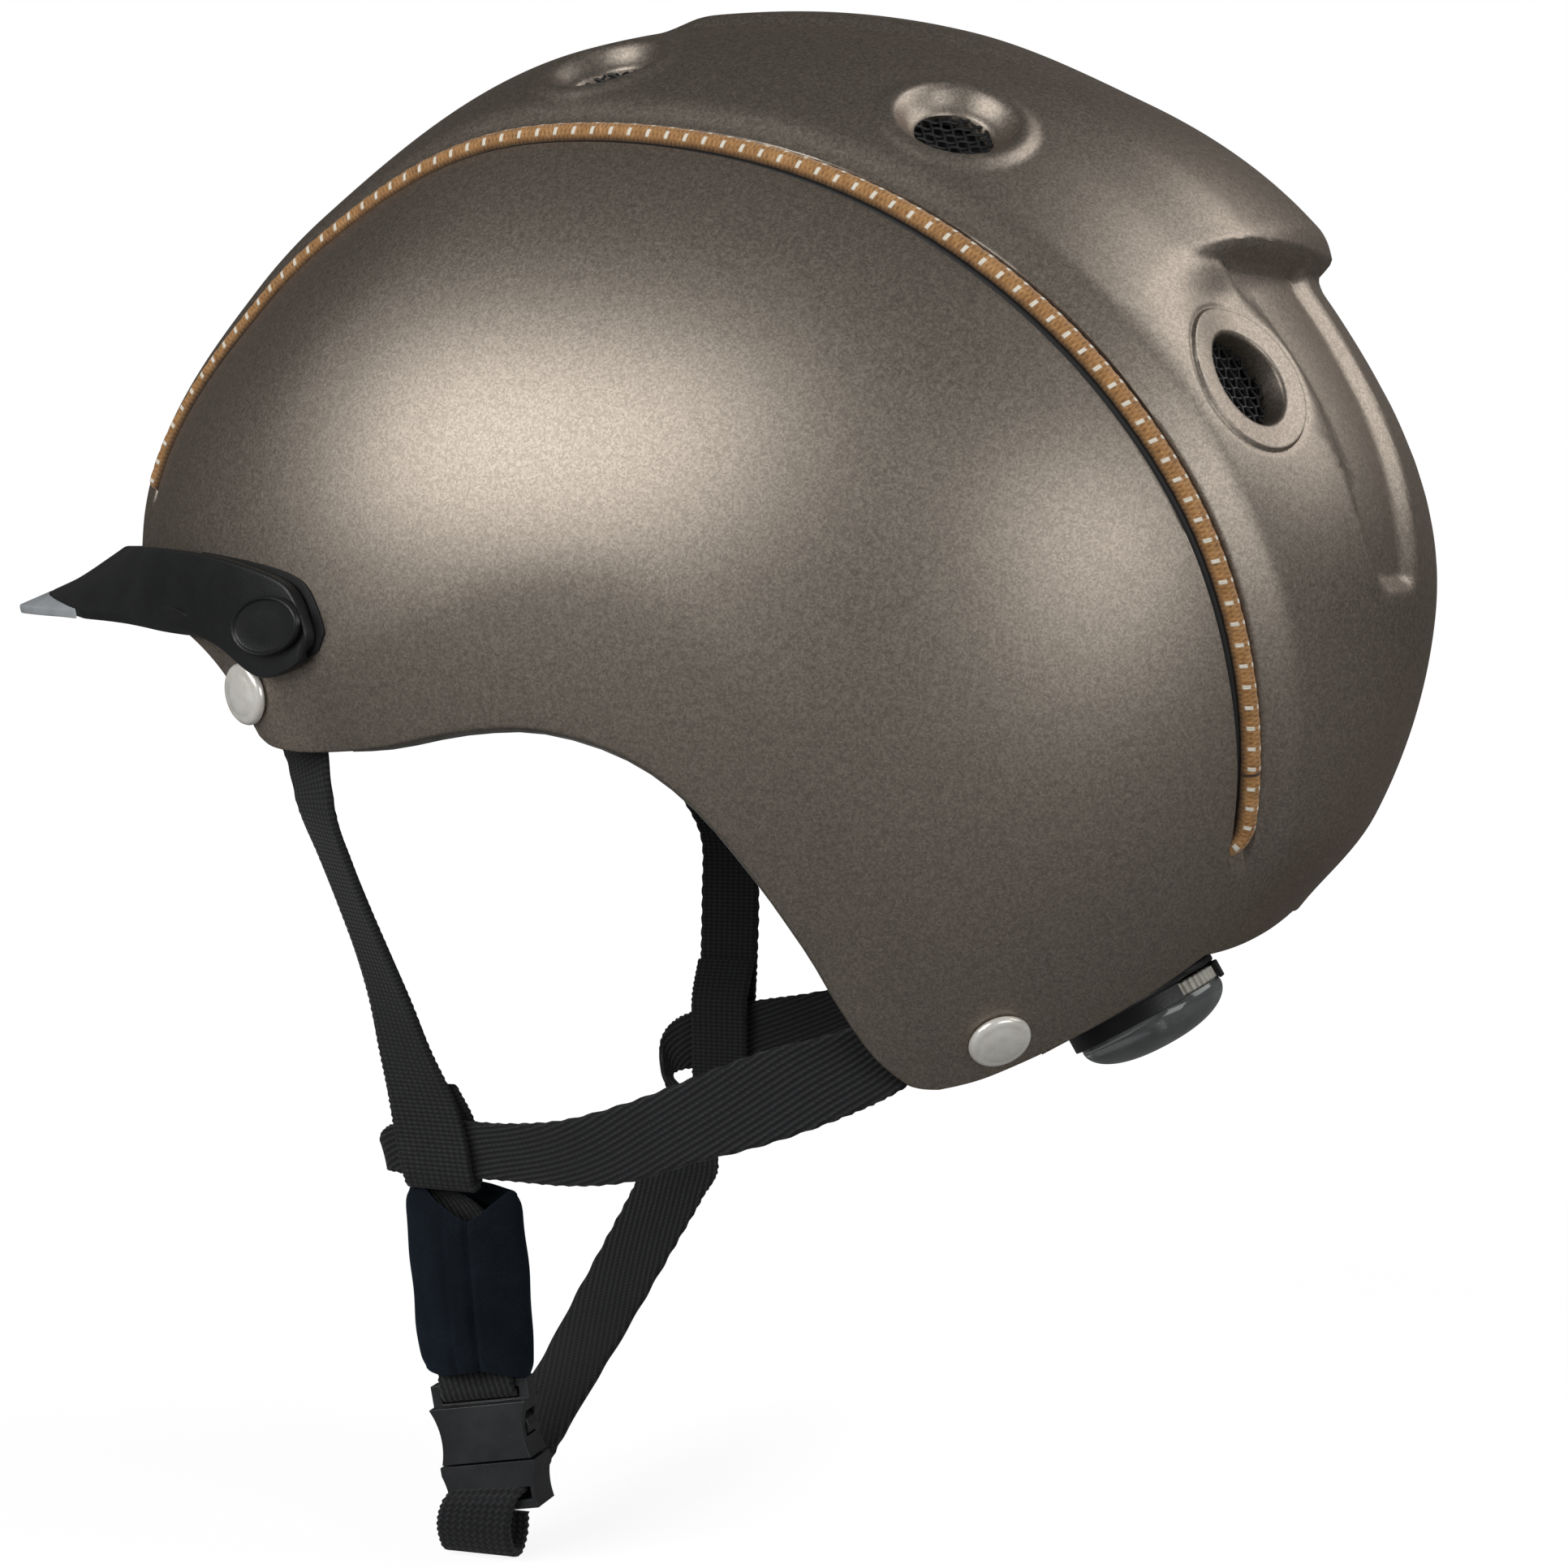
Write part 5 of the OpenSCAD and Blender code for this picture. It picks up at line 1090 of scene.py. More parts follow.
REAR_RIGHT_T = [[-75, 35, -34.5], [-75.5, 20, -40], [-72, 4, -45], [-67, -12, -49], [-64.5, -24, -51],
                [-64.4, -35, -53], [-63.6, -45, -56], [-61.3, -49, -61], [-59.4, -48, -68], [-57, -46, -76],
                [-52, -48, -84.5], [-44, -49.6, -93], [-32, -51.4, -102], [-17, -52, -110], [0, -51.5, -117],
                [20, -50, -123], [38, -50, -129], [50, -49.4, -134], [57.5, -47.8, -134.5]]
REAR_RIGHT_B = [[-69, 46, -45.8], [-74, 34, -52], [-72, 18, -57], [-68, 3, -61], [-65, -10, -64],
                [-64.4, -23, -66], [-64.4, -34, -67.5], [-63.8, -44.2, -68.5], [-60.8, -46, -70.5],
                [-58, -38, -75], [-51.5, -31.5, -87.5], [-43, -32.5, -94], [-31, -34.5, -102],
                [-16, -35.5, -109.5], [1, -35.5, -116], [21, -35, -122], [39, -34.5, -128],
                [51, -33.6, -132.2], [57.5, -32.2, -131.8]]
TAIL_PATH = [[57.4, -133.4], [61.2, -132.3], [63.6, -133.6], [63.7, -137], [63, -140.5], [60.6, -144.6],
             [57, -145.4], [54.2, -142.5], [53.6, -138.5]]
TAIL_EDGES = (-48.0, -32.2)
TAIL_FORWARD = 3.3
SELVAGE_SWELL = 0.10
SELVAGE_SPREAD = 0.12
SELVAGE_PITCH = 1.4
SELVAGE_WAVE = 0.16
BUCKLE_AT = np.array([58, -42.4, -118.5])
BUCKLE_TILT = 10.0
SLOT_MIDDLE = -39.8


def turned_x(p, place, degrees):
    """Points turned about X and set at a place, as the frames of the buckle and the dial."""
    p = np.asarray(p, float)
    return place + np.stack([p[..., 0], *spun(p[..., 1], p[..., 2], degrees)], -1)


def from_buckle(p):
    return turned_x(p, BUCKLE_AT, BUCKLE_TILT)


def strap_root(i, side):
    """Edge of a strap's riveted end, flat under the shell."""
    along = np.array([RIVET_R, 0, -10.0])
    x, y = spun(side * WEB_WIDTH / 2, along, STRAP_TURN[i])
    deep = STRAP_DEPTH - np.where(along < 0, SKIRT_DEEP[i], 0)
    return on_skin(RIVETS[i], np.stack([x, y, deep], -1))


def webbing(name, a, b, steps=14):
    """Flat webbing between two edge curves: a section with thin round selvages carried along them. Its UV
    is the length along it and the place across it, both in mm."""
    t = np.linspace(0, len(a) - 1, (len(a) - 1) * steps + 1)
    pa, pb = curve(a, t), curve(b, t)
    mid = (pa + pb) / 2
    run = np.concatenate([[0], np.cumsum(np.linalg.norm(np.diff(mid, axis=0), axis=1))])
    wide = np.linalg.norm(pb - pa, axis=1)
    over = (pb - pa) / wide[:, None]
    off = unit(np.cross(unit(np.gradient(mid, axis=0)), over))
    bend = np.linspace(-np.pi / 2, np.pi / 2, 7)
    flat = np.linspace(-1, 1, 17)[1:-1]
    half = WEB_THICK / 2
    edge_x, edge_z = np.cos(bend) * half, np.sin(bend) * half
    face_z = half * (1 + SELVAGE_SWELL * np.exp(-((1 - np.abs(flat)) / SELVAGE_SPREAD) ** 2))
    x = np.concatenate([np.ones(7), -flat, -np.ones(7), flat])
    extra = np.concatenate([edge_x - half, 0 * flat, half - edge_x, 0 * flat])
    z = np.concatenate([edge_z, face_z, -edge_z, -face_z])
    across = x[None] * wide[:, None] / 2 + extra[None]
    wave = SELVAGE_WAVE * np.sin(2 * np.pi * run / SELVAGE_PITCH)[:, None] * (np.abs(x) == 1) * np.sign(x)
    rings = mid[:, None] + over[:, None] * (across + wave)[..., None] + off[:, None] * z[None, :, None]
    uv = np.stack(np.broadcast_arrays(run[:, None], across), -1).reshape(-1, 2)
    uv = np.concatenate([uv, [[run[0], 0], [run[-1], 0]]])
    points, faces = capped(rings, [mid[0], mid[-1]])
    return mesh_of(name, points, faces, sharp=55, uv=uv, outward=True)


def sine(add, period, *pairs):
    """Sine of a weighted length in mm with this period, from 0 to 1."""
    turns = weighted(add, *[(socket, weight * 2 * math.pi / period) for socket, weight in pairs])
    wave = add("ShaderNodeMath", [turns], operation="SINE")
    return add("ShaderNodeMath", [wave, 0.5, 0.5], operation="MULTIPLY_ADD")


def twill(add, along, over):
    """Steep diagonal ribs 1.15 mm apart, notched by the weft every 1.2 mm."""
    rib = sine(add, 1.2, (over, 0.974), (along, -0.225))
    notch = sine(add, 1.3, (along, 0.974), (over, 0.5))
    return weighted(add, (rib, 0.84), (notch, 0.16))


def plain(add, along, over):
    """Fine cross ribs 0.9 mm apart, broken by the warp every 1.3 mm."""
    return weighted(add, (sine(add, 0.9, (along, 1.0)), 0.6), (sine(add, 1.3, (over, 1.0)), 0.4))


def chevron(add, along, over):
    """Rows of small chevrons, 1.5 mm apart across the strap."""
    column = add("ShaderNodeMath", [over, 0.75], operation="PINGPONG")
    slanted = sine(add, 1.3, (along, 1.0), (column, 0.9))
    return weighted(add, (slanted, 0.55), (sine(add, 1.5, (over, 1.0)), 0.45))


def woven(name, weave):
    """Woven black polyester webbing: dull, a few grey fibre ends, its colour darker in the valleys of the
    weave and lighter on its crests as painted shade.
    """
    mat, add = material(name)
    coords = add("ShaderNodeTexCoord", out="Object")
    height = weave(add, *uv_parts(add))
    fibres = add("ShaderNodeTexNoise", Vector=coords, **grain(0.7, 3.0, 0.65))
    patches = add("ShaderNodeTexNoise", Vector=coords, **grain(14.0))
    # Painted shade: the weave's height makes its valleys darker and its crests lighter.
    shade = weighted(add, (height, 0.6), (fibres, 0.5), (patches, 0.12))
    tones = [(0.28, "#060708"), (0.55, "#131416"), (0.75, "#212224"), (0.95, "#323335")]
    raised = weighted(add, (height, 1.0), (fibres, 0.25))
    return surface(
        mat, add, Base_Color=add("ShaderNodeValToRGB", [shade], stops=tones), Roughness=0.78,
        Specular_IOR_Level=0.35, Sheen_Weight=0.12, Sheen_Roughness=0.5,
        Normal=add("ShaderNodeBump", Height=raised, Strength=0.9, Distance=0.00022))


rear_web = woven("twill_polyester_webbing", twill)
front_web = woven("plain_polyester_webbing", plain)
tail_web = woven("chevron_polyester_webbing", chevron)


def bar_wrap(side):
    """Edge of the strap's end, wrapped round the buckle's bar."""
    wrap = np.array(BAR_WRAP)
    edge = np.full(len(wrap), side * WEB_WIDTH / 2)
    return from_buckle(np.stack([wrap[:, 0], edge, wrap[:, 1]], -1))


def tail_edge(y):
    """Edge of the free end: it leaves the plug's slot with the slot's tilt, then hangs level, a little
    forward."""
    path = np.array(TAIL_PATH)
    out = ease(np.arange(len(path)), 0, 4)
    tilt = (y - SLOT_MIDDLE) * math.tan(math.radians(BUCKLE_TILT)) * (1 - out)
    return np.stack([path[:, 0], y - TAIL_FORWARD * out, path[:, 1] + tilt], -1)


def joined(*parts):
    return np.concatenate([np.asarray(p, float) for p in parts])


STRAPS = [
    ("front_strap_left", front_web, joined(strap_root(0, -1), FRONT_LEFT_A, LOOP_A),
     joined(strap_root(0, 1), FRONT_LEFT_B, LOOP_B)),
    ("front_strap_right", front_web, joined(mirror_x(strap_root(0, -1)), FRONT_RIGHT_A, LOOP_RIGHT_A),
     joined(mirror_x(strap_root(0, 1)), FRONT_RIGHT_B, LOOP_RIGHT_B)),
    ("rear_strap_left", rear_web, joined(strap_root(1, -1), REAR_LEFT_T, bar_wrap(-1)),
     joined(strap_root(1, 1), REAR_LEFT_B, bar_wrap(1))),
    ("rear_strap_right", rear_web, joined(mirror_x(strap_root(1, -1)), REAR_RIGHT_T),
     joined(mirror_x(strap_root(1, 1)), REAR_RIGHT_B)),
    ("adjuster_tail", tail_web, *[tail_edge(y) for y in TAIL_EDGES]),
]
for node, web, first, second in STRAPS:
    finish_piece(webbing(node + "_web", first, second), web, node=node)


# Chin sleeve

SLEEVE_LEVELS = [-72.3, -76, -84, -92, -100, -105.5, -108.2]
SLEEVE_HALF = [[6.8, 12.2], [7.6, 12.7], [8, 12.9], [8, 12.9], [7.6, 12.7], [7.2, 12.5], [6.8, 12.2]]
SLEEVE_WALL = 2.0
SEAM_TURN = 14.0
SLEEVE_AT = (60.3, -44.9, -90.0)
SLEEVE_SLANT = (0.05, -0.06)
V_DEEP = 6.5
FOOT_RISE = 1.6


def sleeve_mesh():
    """Padded tube: its section follows the levels, its top dips in a V at the seam and its bottom rises
    there, the seam is a narrow valley, and soft folds run across it."""
    sides, levels, lip = 128, 56, 7
    w = np.linspace(-np.pi, np.pi, sides, endpoint=False)
    seam = math.radians(SEAM_TURN)
    gap = np.abs((w - seam + np.pi) % (2 * np.pi) - np.pi)
    t = np.linspace(0, 1, levels)[:, None]
    top = SLEEVE_LEVELS[0] - V_DEEP * np.clip(1 - gap / 1.15, 0, 1) ** 1.1 + 0.4 * np.sin(2 * w + 1)
    low = SLEEVE_LEVELS[-1] + FOOT_RISE * np.clip(1 - gap / 0.9, 0, 1) + 0.3 * np.sin(2 * w)
    z = mix(top[None], low[None], t)
    place = np.interp(z, SLEEVE_LEVELS[::-1], np.arange(len(SLEEVE_LEVELS))[::-1])
    half = curve(SLEEVE_HALF, place)
    folds = (0.16 * np.sin(z * 0.28 + 1.5 * np.sin(w)) * np.sin(1.5 * w) ** 2
             + 0.12 * np.sin(z * 0.45 - 2 * w) * np.exp(-((np.abs(w) - 1.5) / 0.6) ** 2))
    valley = np.exp(-(gap / 0.05) ** 2) + 0.45 * np.exp(-((gap - 0.42) / 0.04) ** 2) * (w < seam)
    hems = np.clip(1 - t / 0.06, 0, 1) ** 2 + np.clip(1 - (1 - t) / 0.06, 0, 1) ** 2
    pull = -0.35 + folds - valley[None] - 0.5 * hems
    squash = 1 - 0.10 * np.abs(np.sin(2 * w)) ** 2

    def skin_at(off):
        reach = (half + (pull + off)[..., None]) * squash[None, :, None]
        x, y = [SLEEVE_AT[i] + (z - SLEEVE_AT[2]) * SLEEVE_SLANT[i] for i in (0, 1)]
        return np.stack([x + reach[..., 0] * np.cos(w), y + reach[..., 1] * np.sin(w), z], -1)

    outer_skin, inner_skin = skin_at(0 * z), skin_at(-SLEEVE_WALL + 0 * z)
    bend = np.linspace(0, np.pi, lip)[1:-1, None, None]

    def round_lip(first, second, up):
        middle, half_wall = (first + second) / 2, (first - second) / 2
        return middle + half_wall * np.cos(bend) + np.array([0, 0, up]) * np.sin(bend) * SLEEVE_WALL / 2

    points = np.concatenate([outer_skin, round_lip(outer_skin[-1], inner_skin[-1], -1), inner_skin[::-1],
                             round_lip(inner_skin[0], outer_skin[0], 1)])
    faces = [quads(len(points), sides, wrap_rows=True, wrap_cols=True)]
    return mesh_of("sleeve_body", points, faces, sharp=180, outward=True)


def brushed_fleece():
    """Brushed navy-black fleece: fuzzy, no shine, a faint blue sheen at its edges."""
    mat, add = material("brushed_fleece")
    coords = add("ShaderNodeTexCoord", out="Object")
    fuzz = add("ShaderNodeTexNoise", Vector=coords, **grain(0.5, 4.0, 0.75))
    patches = add("ShaderNodeTexNoise", Vector=coords, **grain(7.0, 3.0, 0.6))
    shade = weighted(add, (fuzz, 0.55), (patches, 0.45))
    tones = [(0.32, "#080A0E"), (0.5, "#0F141A"), (0.68, "#1A2027")]
    return surface(
        mat, add, Base_Color=add("ShaderNodeValToRGB", [shade], stops=tones), Roughness=0.95,
        Specular_IOR_Level=0.15, Sheen_Weight=0.28, Sheen_Roughness=0.55, Sheen_Tint="#5A7088",
        Normal=add("ShaderNodeBump", Height=shade, Strength=0.9, Distance=0.00035))


sleeve = finish_piece(sleeve_mesh(), brushed_fleece(), node="chin_sleeve")


# Rounded copies of moulded CAD parts

def rounded_copy(node, name, width, segments=3, flat=1.5, limit=35.0):
    """Merged copy of a CAD node's mesh with its flat faces joined and its edges rounded."""
    mesh = bpy.data.meshes.new(name)
    work = bmesh.new()
    work.from_mesh(nodes[node].data)
    bmesh.ops.remove_doubles(work, verts=work.verts, dist=DOUBLES)
    bmesh.ops.dissolve_limit(work, angle_limit=math.radians(flat), verts=work.verts, edges=work.edges)
    bmesh.ops.recalc_face_normals(work, faces=work.faces)
    work.to_mesh(mesh)
    work.free()
    mesh.polygons.foreach_set("use_smooth", np.ones(len(mesh.polygons), bool))
    mesh.set_sharp_from_angle(angle=math.radians(limit))
    obj = linked(name, mesh)
    bevel = obj.modifiers.new("round", "BEVEL")
    bevel.width = width * MM
    bevel.segments = segments
    bevel.limit_method = "ANGLE"
    bevel.angle_limit = math.radians(limit)
    bevel.use_clamp_overlap = True
    return obj


buckle_black = moulded_plastic("acetal_black", ["#202123", "#292A2C", "#333436"], 0.38, 0.35, 0.00004)
nylon_black = moulded_plastic("nylon_black", ["#131416", "#1A1B1D", "#232427"], 0.45, 0.6, 0.00006)
for node, body, width in (("buckle_socket", "root", 0.7), ("buckle_plug", "root", 0.7),
                          ("buckle_prong_front", "prong_front", 0.4),
                          ("buckle_prong_rear", "prong_rear", 0.4)):
    moulding = rounded_copy(node, node + "_moulding", width)
    finish_piece(moulding, buckle_black, body, node)


# Dial at the nape

DIAL_AT = np.array([0, 77.5, -37])
DIAL_TILT = 210.0
DIAL_R = 16.0
GRIP_BASE = 0.2
GRIP_HIGH = 2.8
RIBS = 60
RIB_DEEP = 0.55
CAP_DEEP = 7.4
CAP_SIDE = 1.0
SHROUD_TURNS = (-41, 272)
SHROUD_GAP = 0.4
SHROUD_WALL = 0.65


def from_dial(p):
    return turned_x(p, DIAL_AT, DIAL_TILT)


def ribbed_ring():
    """Grip ring: RIBS square ribs with soft flanks round a disc, its two rims rounded."""
    sides = RIBS * 12
    w = np.linspace(0, 2 * np.pi, sides, endpoint=False)
    rib = ease(np.cos(RIBS * w), -0.35, 0.35)
    rows = np.array([[0, 0.05, 0], [0.8, 0.05, 0], [0.96, 0.05, 0.3], [1, 0.3, 1], [1, GRIP_HIGH - 0.3, 1],
                     [0.96, GRIP_HIGH - 0.05, 0.3], [0.8, GRIP_HIGH - 0.05, 0], [0, GRIP_HIGH - 0.05, 0]])
    r = rows[:, :1] * (DIAL_R - 0.1) - RIB_DEEP * rows[:, 2:] * (1 - rib[None])
    points = from_dial(np.stack([r * np.cos(w), r * np.sin(w), GRIP_BASE + rows[:, 1:2] + 0 * w], -1))
    faces = [quads(len(rows), sides, wrap_cols=True)]
    return mesh_of("dial_ribbed_ring", points, faces, 40, merge=DOUBLES)


def dial_bowl():
    """Smoky bowl over the ring: a short side, a wide round shoulder and a shallow dish in its top."""
    t = np.radians(np.linspace(0, 84, 22))
    base = GRIP_BASE + GRIP_HIGH
    r = (DIAL_R - 0.15) * np.cos(t) ** 0.85
    z = base + CAP_SIDE + (CAP_DEEP - CAP_SIDE) * np.sin(t)
    top = z[-1]
    profile = np.concatenate([[[0, base + 0.05], [DIAL_R - 0.7, base + 0.05], [DIAL_R - 0.25, base + 0.25]],
                              np.stack([r, z], 1), [[1.2, top - 0.05], [0, top - 0.1]]])
    return lathe("dial_smoky_bowl", profile, 96, 50, from_dial)


def dial_shroud():
    """Thin black wall round the ribbed ring, open at the rear left, where a thumb reaches the ribs."""
    w = np.radians(np.linspace(*SHROUD_TURNS, 105))
    near, far = DIAL_R + SHROUD_GAP, DIAL_R + SHROUD_GAP + SHROUD_WALL
    low, high = GRIP_BASE - 0.3, GRIP_BASE + GRIP_HIGH + 0.4
    corners = [from_dial(np.stack([r * np.cos(w), r * np.sin(w), np.full(len(w), z)], -1))
               for r, z in ((near, low), (far, low), (far, high), (near, high))]
    return loft("dial_shroud", rounded_ring(np.stack(corners, 1), 0.25))


# Moulded off-white nylon, satin, greyer where hands have worn it
grip_white = mottled("off_white_nylon", [(0.35, "#B9B6AA"), (0.55, "#D3D0C5"), (0.75, "#DFDCD2")],
                     grain(4.0, 4.0, 0.6), 0.42, grain(0.5), 0.00003)
# Clear polycarbonate with a dark smoke tint, glossy, a little grey in its depth
smoke = mottled("smoky_polycarbonate", [(0.3, "#6E7273"), (0.6, "#868A8A"), (0.8, "#9A9E9D")],
                grain(9.0), 0.12, grain(3.0), 0.00002, 0.3, Transmission_Weight=0.55, IOR=1.58)
finish_piece(ribbed_ring(), grip_white, "dial", "dial_grip")
finish_piece(dial_bowl(), smoke, "dial", "dial_cap")
finish_piece(dial_shroud(), nylon_black)
for node, width in (("cradle_cover", 0.5), ("cradle", 0.4), ("yoke", 0.5)):
    finish_piece(rounded_copy(node, node + "_moulding", width), nylon_black, "root", node)


# Nets in the vents

NET_PITCH = 2.0
NET_R = 0.28
NET_DEEP = 2.0
NET_SAG = 0.8
NET_WAVE = 0.22


def vent_net(name, number, side):
    """Round piece of net: two crossing rows of thin cords, a little slack, across the shell's hole."""
    reach = HOLE_R[number] + 0.1
    count = int(reach // NET_PITCH)
    s = np.linspace(-1, 1, 33)
    pieces, faces, base = [], [], 0
    for turn in (0, 1):
        for k in range(-count, count + 1):
            x = k * NET_PITCH + (NET_PITCH / 2 if turn else 0)
            long = math.sqrt(max(reach ** 2 - x ** 2, 0.3))
            line = np.stack([np.full_like(s, x), s * long], -1)
            line = line if turn else line[:, ::-1]
            depth = -NET_DEEP - NET_SAG * (1 - (line ** 2).sum(-1) / reach ** 2)
            depth = depth + NET_WAVE * np.cos(np.pi * (s * long / NET_PITCH + k)) * (1 if turn else -1)
            points, made = capped(tube(np.column_stack([line, depth]), NET_R, sides=6), base=base)
            pieces.append(points)
            faces += made
            base += len(points)
    return mesh_of(name, on_skin(VENTS[number], np.concatenate(pieces), side), faces, outward=True)


# Black knitted nylon net, slightly shiny
net_black = mottled("nylon_net", [(0.3, "#0B0B0C"), (0.7, "#1C1C1E")], grain(0.8), 0.55)
for number, place in enumerate(("front", "middle", "rear")):
    for label, side in SIDES:
        finish_piece(vent_net(f"vent_net_{place}_{label}", number, side), net_black)


# Foam, trim and pads

FOAM_THICK = 21.0
FOAM_EDGE = 11.0
FOAM_RUN = (4, 45)
PAD_THICK = 7.0
PAD_GAP = 1.5
PAD_BACK = 1.2
SEAM_DRAW = 0.55
PUCKER = 0.25
CORNER_DRAW = 0.04


def bead_foam():
    """Moulded bead foam, charcoal: flattened beads about 3 mm across with fine dark lines between them."""
    mat, add = material("expanded_polystyrene")
    coords = add("ShaderNodeTexCoord", out="Object")
    beads = add("ShaderNodeTexVoronoi", out="Distance", feature="DISTANCE_TO_EDGE", Vector=coords,
                Scale=1 / (3.0 * MM))
    edge = add("ShaderNodeMapRange", Value=beads, From_Min=0.0, From_Max=0.12)
    patches = add("ShaderNodeTexNoise", Vector=coords, **grain(3.0))
    tone = weighted(add, (edge, 0.45), (patches, 0.55))
    tones = [(0.2, "#17171A"), (0.55, "#28282C"), (0.85, "#36363B")]
    return surface(mat, add, Base_Color=add("ShaderNodeValToRGB", [tone], stops=tones), Roughness=0.68,
                   Normal=add("ShaderNodeBump", Height=edge, Strength=0.6, Distance=0.00018))


def pad_knit():
    """Charcoal knitted spacer fabric: small round holes 1.8 mm apart in a soft dull cloth."""
    mat, add = material("knitted_spacer_fabric")
    coords = add("ShaderNodeTexCoord", out="Object")
    cells = add("ShaderNodeTexVoronoi", out="Distance", feature="F1", Vector=coords, Randomness=0.25,
                Scale=1 / (1.8 * MM))
    hole = add("ShaderNodeMapRange", Value=cells, From_Min=0.15, From_Max=0.4)
    fibres = add("ShaderNodeTexNoise", Vector=coords, **grain(0.5, 3.0, 0.7))
    tone = weighted(add, (hole, 0.55), (fibres, 0.45))
    tones = [(0.2, "#111214"), (0.55, "#2B2C30"), (0.85, "#3E3F44")]
    return surface(
        mat, add, Base_Color=add("ShaderNodeValToRGB", [tone], stops=tones), Roughness=0.9,
        Sheen_Weight=0.25, Normal=add("ShaderNodeBump", Height=tone, Strength=0.8, Distance=0.0003))


def foam_in(u, v, off=0.0):
    """Inner face of the foam, off mm further in; rows past the middle lie on the right half."""
    u, v = np.broadcast_arrays(np.asarray(u, float), np.asarray(v, float))
    row = np.where(v <= 2, v, 4 - v)
    deep = mix(FOAM_EDGE, FOAM_THICK, ease(rim_distance(u, row), *FOAM_RUN))
    p = inner(u, row, SHELL_WALL + 0.3 + deep + off)
    return p * np.stack([np.where(v <= 2, 1.0, -1.0), np.ones_like(u), np.ones_like(u)], -1)


def pad_mesh(name, u0, u1, v0, v1, channels, nu, nv, side):
    """Pad on the foam: a flat back and a crowned face that falls to its edges in a superellipse with round
    corners, drawn in along its sewn channels, with small puckers beside the seams."""
    s, t = np.meshgrid(np.linspace(-1, 1, nu), np.linspace(-1, 1, nv), indexing="ij")
    swell = np.sqrt(np.clip(1 - np.abs(s) ** 4, 0, 1) * np.clip(1 - np.abs(t) ** 4, 0, 1))
    place = (t + 1) / 2
    seam = np.abs(np.cos(np.pi * place * (channels + 1)))
    line = seam ** 14 * ((place > 0.06) & (place < 0.94))
    pucker = PUCKER * np.sin(s * nu * 0.9 + 2 * t) * seam ** 5
    rise = (PAD_THICK - PAD_BACK) * swell * (1 - SEAM_DRAW * line) + pucker * swell
    u = mix(u0, u1, (s * (1 - CORNER_DRAW * np.abs(t) ** 3) + 1) / 2)
    v = mix(v0, v1, (t * (1 - CORNER_DRAW * np.abs(s) ** 3) + 1) / 2)
    face, back = foam_in(u, v, PAD_GAP + 1.1 + rise), foam_in(u, v, PAD_GAP + 0.1)
    grid = np.concatenate([face.reshape(-1, 3), back.reshape(-1, 3)])
    f = np.arange(nu * nv).reshape(nu, nv)
    ring = np.concatenate([f[:-1, 0], f[-1, :-1], f[:0:-1, -1], f[0, :0:-1]])
    after = np.roll(ring, -1)
    wall = np.stack([ring, after, after + nu * nv, ring + nu * nv], 1)
    faces = [quads(nu, nv), quads(nu, nv, base=nu * nv), wall]
    return mesh_of(name, sided(grid, side), faces, sharp=180, outward=True)


knit = pad_knit()
# CAD node, first and last column, first and last row, sewn channels, points along and across, side
PADS = [("brow_pad", 0.45, 1.25, 0.95, 3.05, 3, 40, 150, 1), ("crown_pad", 4, 7, 1.7, 2.3, 1, 110, 60, 1),
        ("side_pad_left", 3, 6.2, 0.62, 0.98, 1, 120, 60, 1),
        ("side_pad_right", 3, 6.2, 0.62, 0.98, 1, 120, 60, -1)]
for node, *numbers in PADS:
    pad = finish_piece(pad_mesh(node + "_cushion", *numbers), knit, node=node)


def dress(node, mat):
    """Gives a CAD node that stays in view its material."""
    nodes[node].data.materials.clear()
    nodes[node].data.materials.append(mat)


# Soft light-grey edge trim, moulded, dusty
trim_grey = mottled("grey_edge_trim", [(0.3, "#6E6E6C"), (0.55, "#828280"), (0.8, "#939391")],
                    grain(6.0, 3.0, 0.6), 0.6, grain(0.6), 0.00005)
steel = plated_metal("zinc_plated_steel")
dress("foam_liner", bead_foam())
dress("rim_trim", trim_grey)
for node in ("ring_band_left", "ring_band_right", "band_snaps", "rack_left", "rack_right", "pinion",
             "visor_studs"):
    dress(node, nylon_black)
for node in ("rivet_posts", "rivet_washers", "dial_screw"):
    dress(node, steel)


# Camera, light and floor

CAMERA_DISTANCE = 700.0
IMAGE_PIXELS = 1932
MM_PER_PIXEL = 0.1697
CAMERA_BACK = 18.0
CAMERA_UP = 5.0
TARGET = Vector((-0.3, 0.9, 4.8)) * MM
SENSOR = 36.0
WORLD_LEVEL = 0.085
FLOOR_HALF = 6000.0


def aimed(name, data, turn, rise, distance):
    """Object that looks at the helmet from distance metres. turn runs from the left (0) to the rear (90),
    rise up from level, both in degrees."""
    a, b = math.radians(turn), math.radians(rise)
    away = Vector((math.cos(a) * math.cos(b), math.sin(a) * math.cos(b), math.sin(b)))
    obj = linked(name, data)
    obj.location = TARGET + away * distance
    obj.rotation_mode = "QUATERNION"
    obj.rotation_quaternion = (-away).to_track_quat("-Z", "Y")
    return obj


def camera():
    """Camera of the photograph, behind the left side view and a little above it."""
    data = bpy.data.cameras.new("photo_camera")
    data.sensor_width = SENSOR
    data.lens = SENSOR * CAMERA_DISTANCE / (MM_PER_PIXEL * IMAGE_PIXELS)
    data.clip_start = 0.05
    data.clip_end = 20
    bpy.context.scene.camera = aimed("photo_camera", data, CAMERA_BACK, CAMERA_UP, CAMERA_DISTANCE * MM)


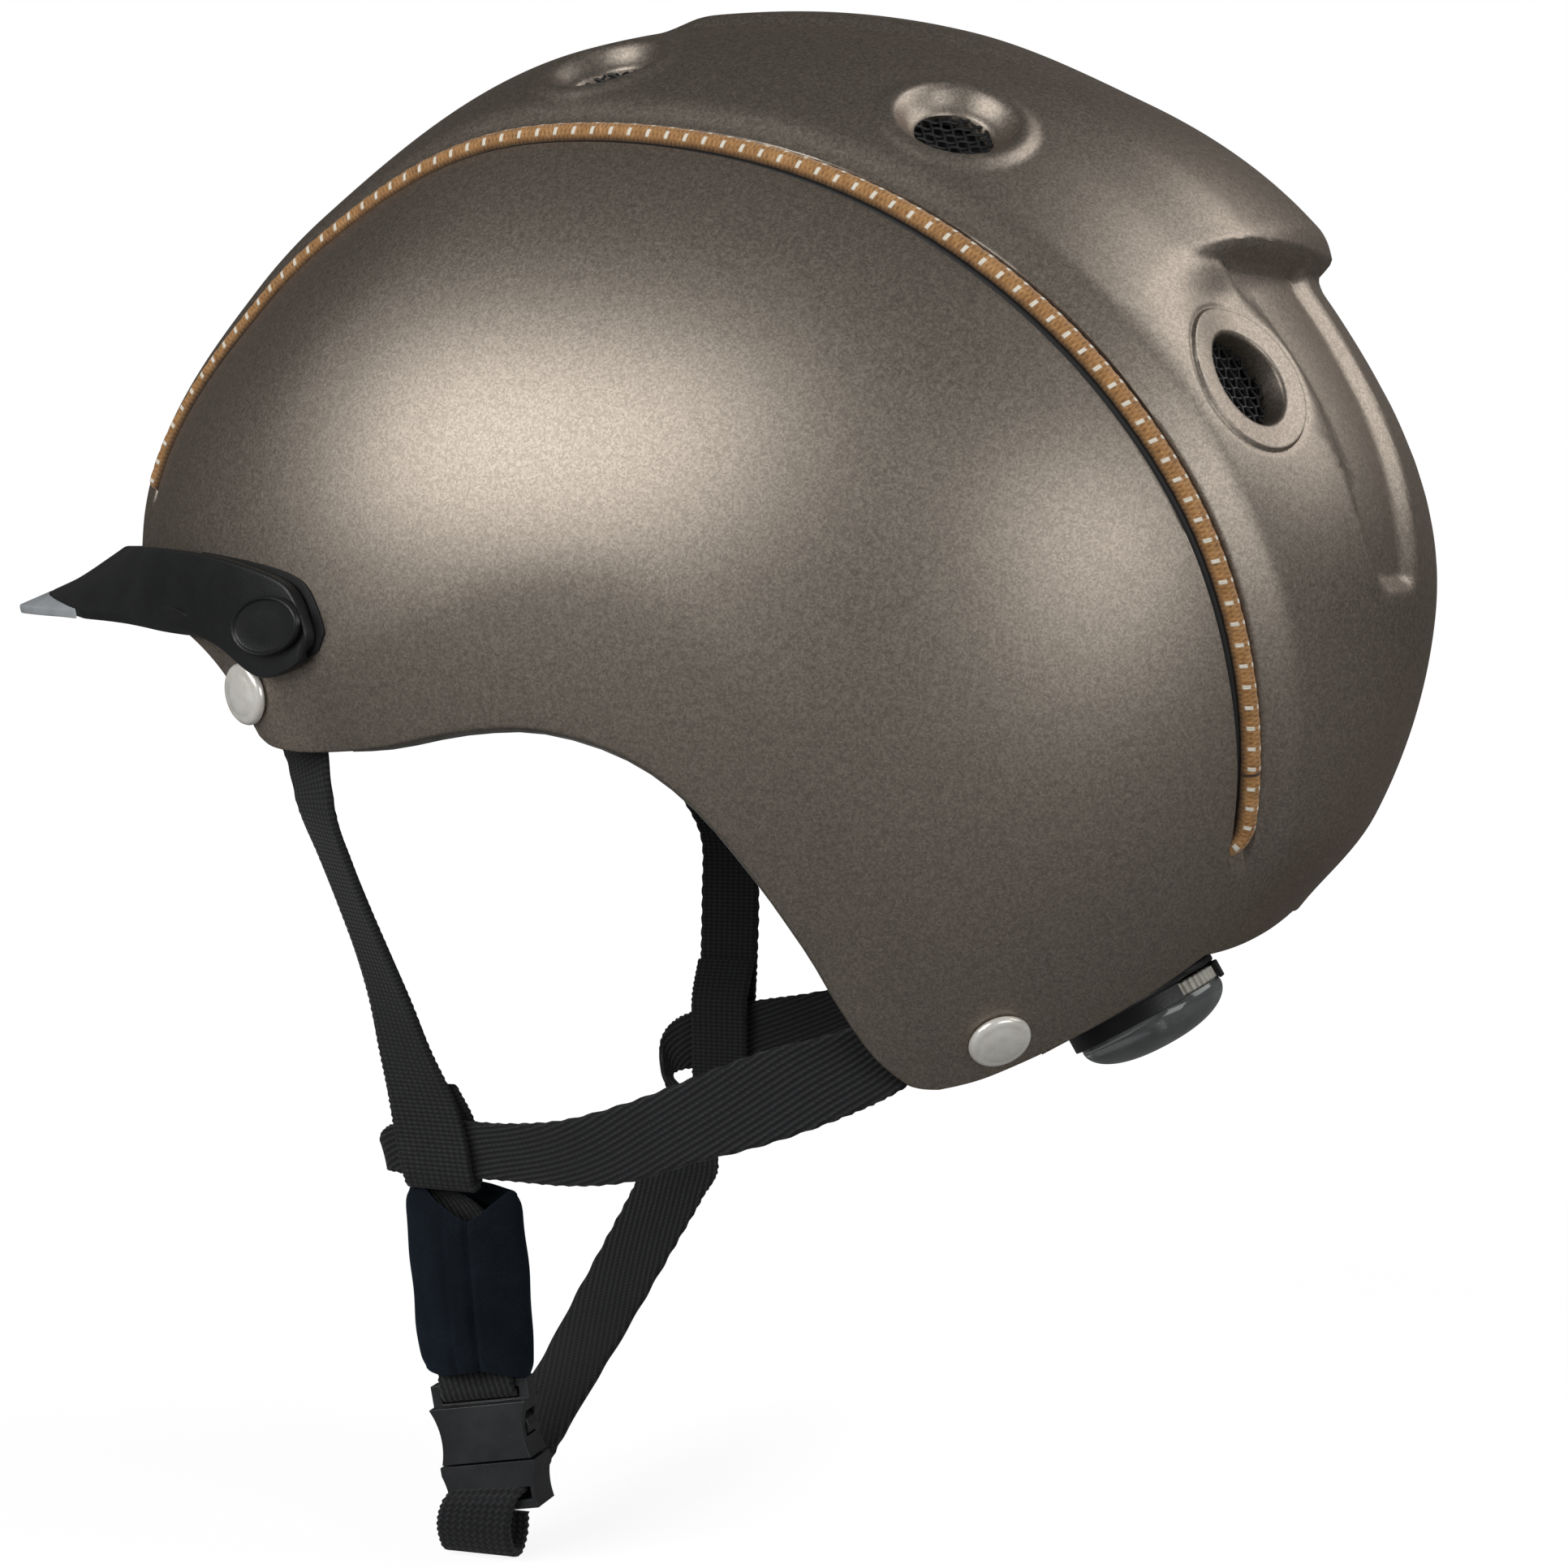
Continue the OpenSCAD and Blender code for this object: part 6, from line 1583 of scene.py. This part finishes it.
def lamp(name, turn, rise, distance, size, power):
    """White soft box aimed at the helmet; size is its two sides in metres."""
    data = bpy.data.lights.new(name, "AREA")
    data.shape = "RECTANGLE"
    data.size, data.size_y = size
    data.energy = power
    aimed(name, data, turn, rise, distance)


def world():
    """Even pale light, and plain white where the camera or clear plastic sees it."""
    made = bpy.data.worlds.new("studio")
    bpy.context.scene.world = made
    made.use_nodes = True
    add = node_adder(made.node_tree)
    rays = add("ShaderNodeLightPath", out=None).outputs
    seen = add("ShaderNodeMath", [rays["Is Camera Ray"], rays["Is Transmission Ray"]], operation="MAXIMUM")
    soft = add("ShaderNodeBackground", ["#F4F4F4", WORLD_LEVEL])
    white = add("ShaderNodeBackground", ["#FFFFFF", 1.0])
    add("ShaderNodeOutputWorld", out=None, Surface=add("ShaderNodeMixShader", [seen, soft, white]))


def floor():
    """Plain pale floor under the lowest strap: it takes the helmet's shadow, and the camera sees it nearly
    white."""
    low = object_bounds()[0][2] / MM - 0.5
    corners = np.array([[-1, -1], [1, -1], [1, 1], [-1, 1]]) * FLOOR_HALF
    obj = mesh_of("studio_floor", np.column_stack([corners, np.full(4, low)]), [np.array([[0, 1, 2, 3]])])
    mat, add = material("pale_floor")
    coords = add("ShaderNodeTexCoord", out="Object")
    reach = add("ShaderNodeVectorMath", [coords], out="Value", operation="LENGTH")
    glow = add("ShaderNodeMapRange", Value=reach, From_Min=0.3, From_Max=1.4, To_Min=0.88, To_Max=1.0)
    seen = add("ShaderNodeLightPath", out="Is Camera Ray")
    surface(mat, add, Base_Color="#8C8C8C", Roughness=0.9, Specular_IOR_Level=0.0, Emission_Color="#FFFFFF",
            Emission_Strength=add("ShaderNodeMath", [seen, glow], operation="MULTIPLY"))
    obj.data.materials.append(mat)
    obj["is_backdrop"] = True


camera()
world()
floor()
lamp("key", -30, 25, 1.4, (1.15, 0.85), 13)
lamp("side", 53, 8, 1.5, (0.85, 0.75), 6.4)
lamp("rear", 110, 40, 1.5, (1.1, 0.9), 9)

bpy.context.scene.view_settings.view_transform = "Standard"
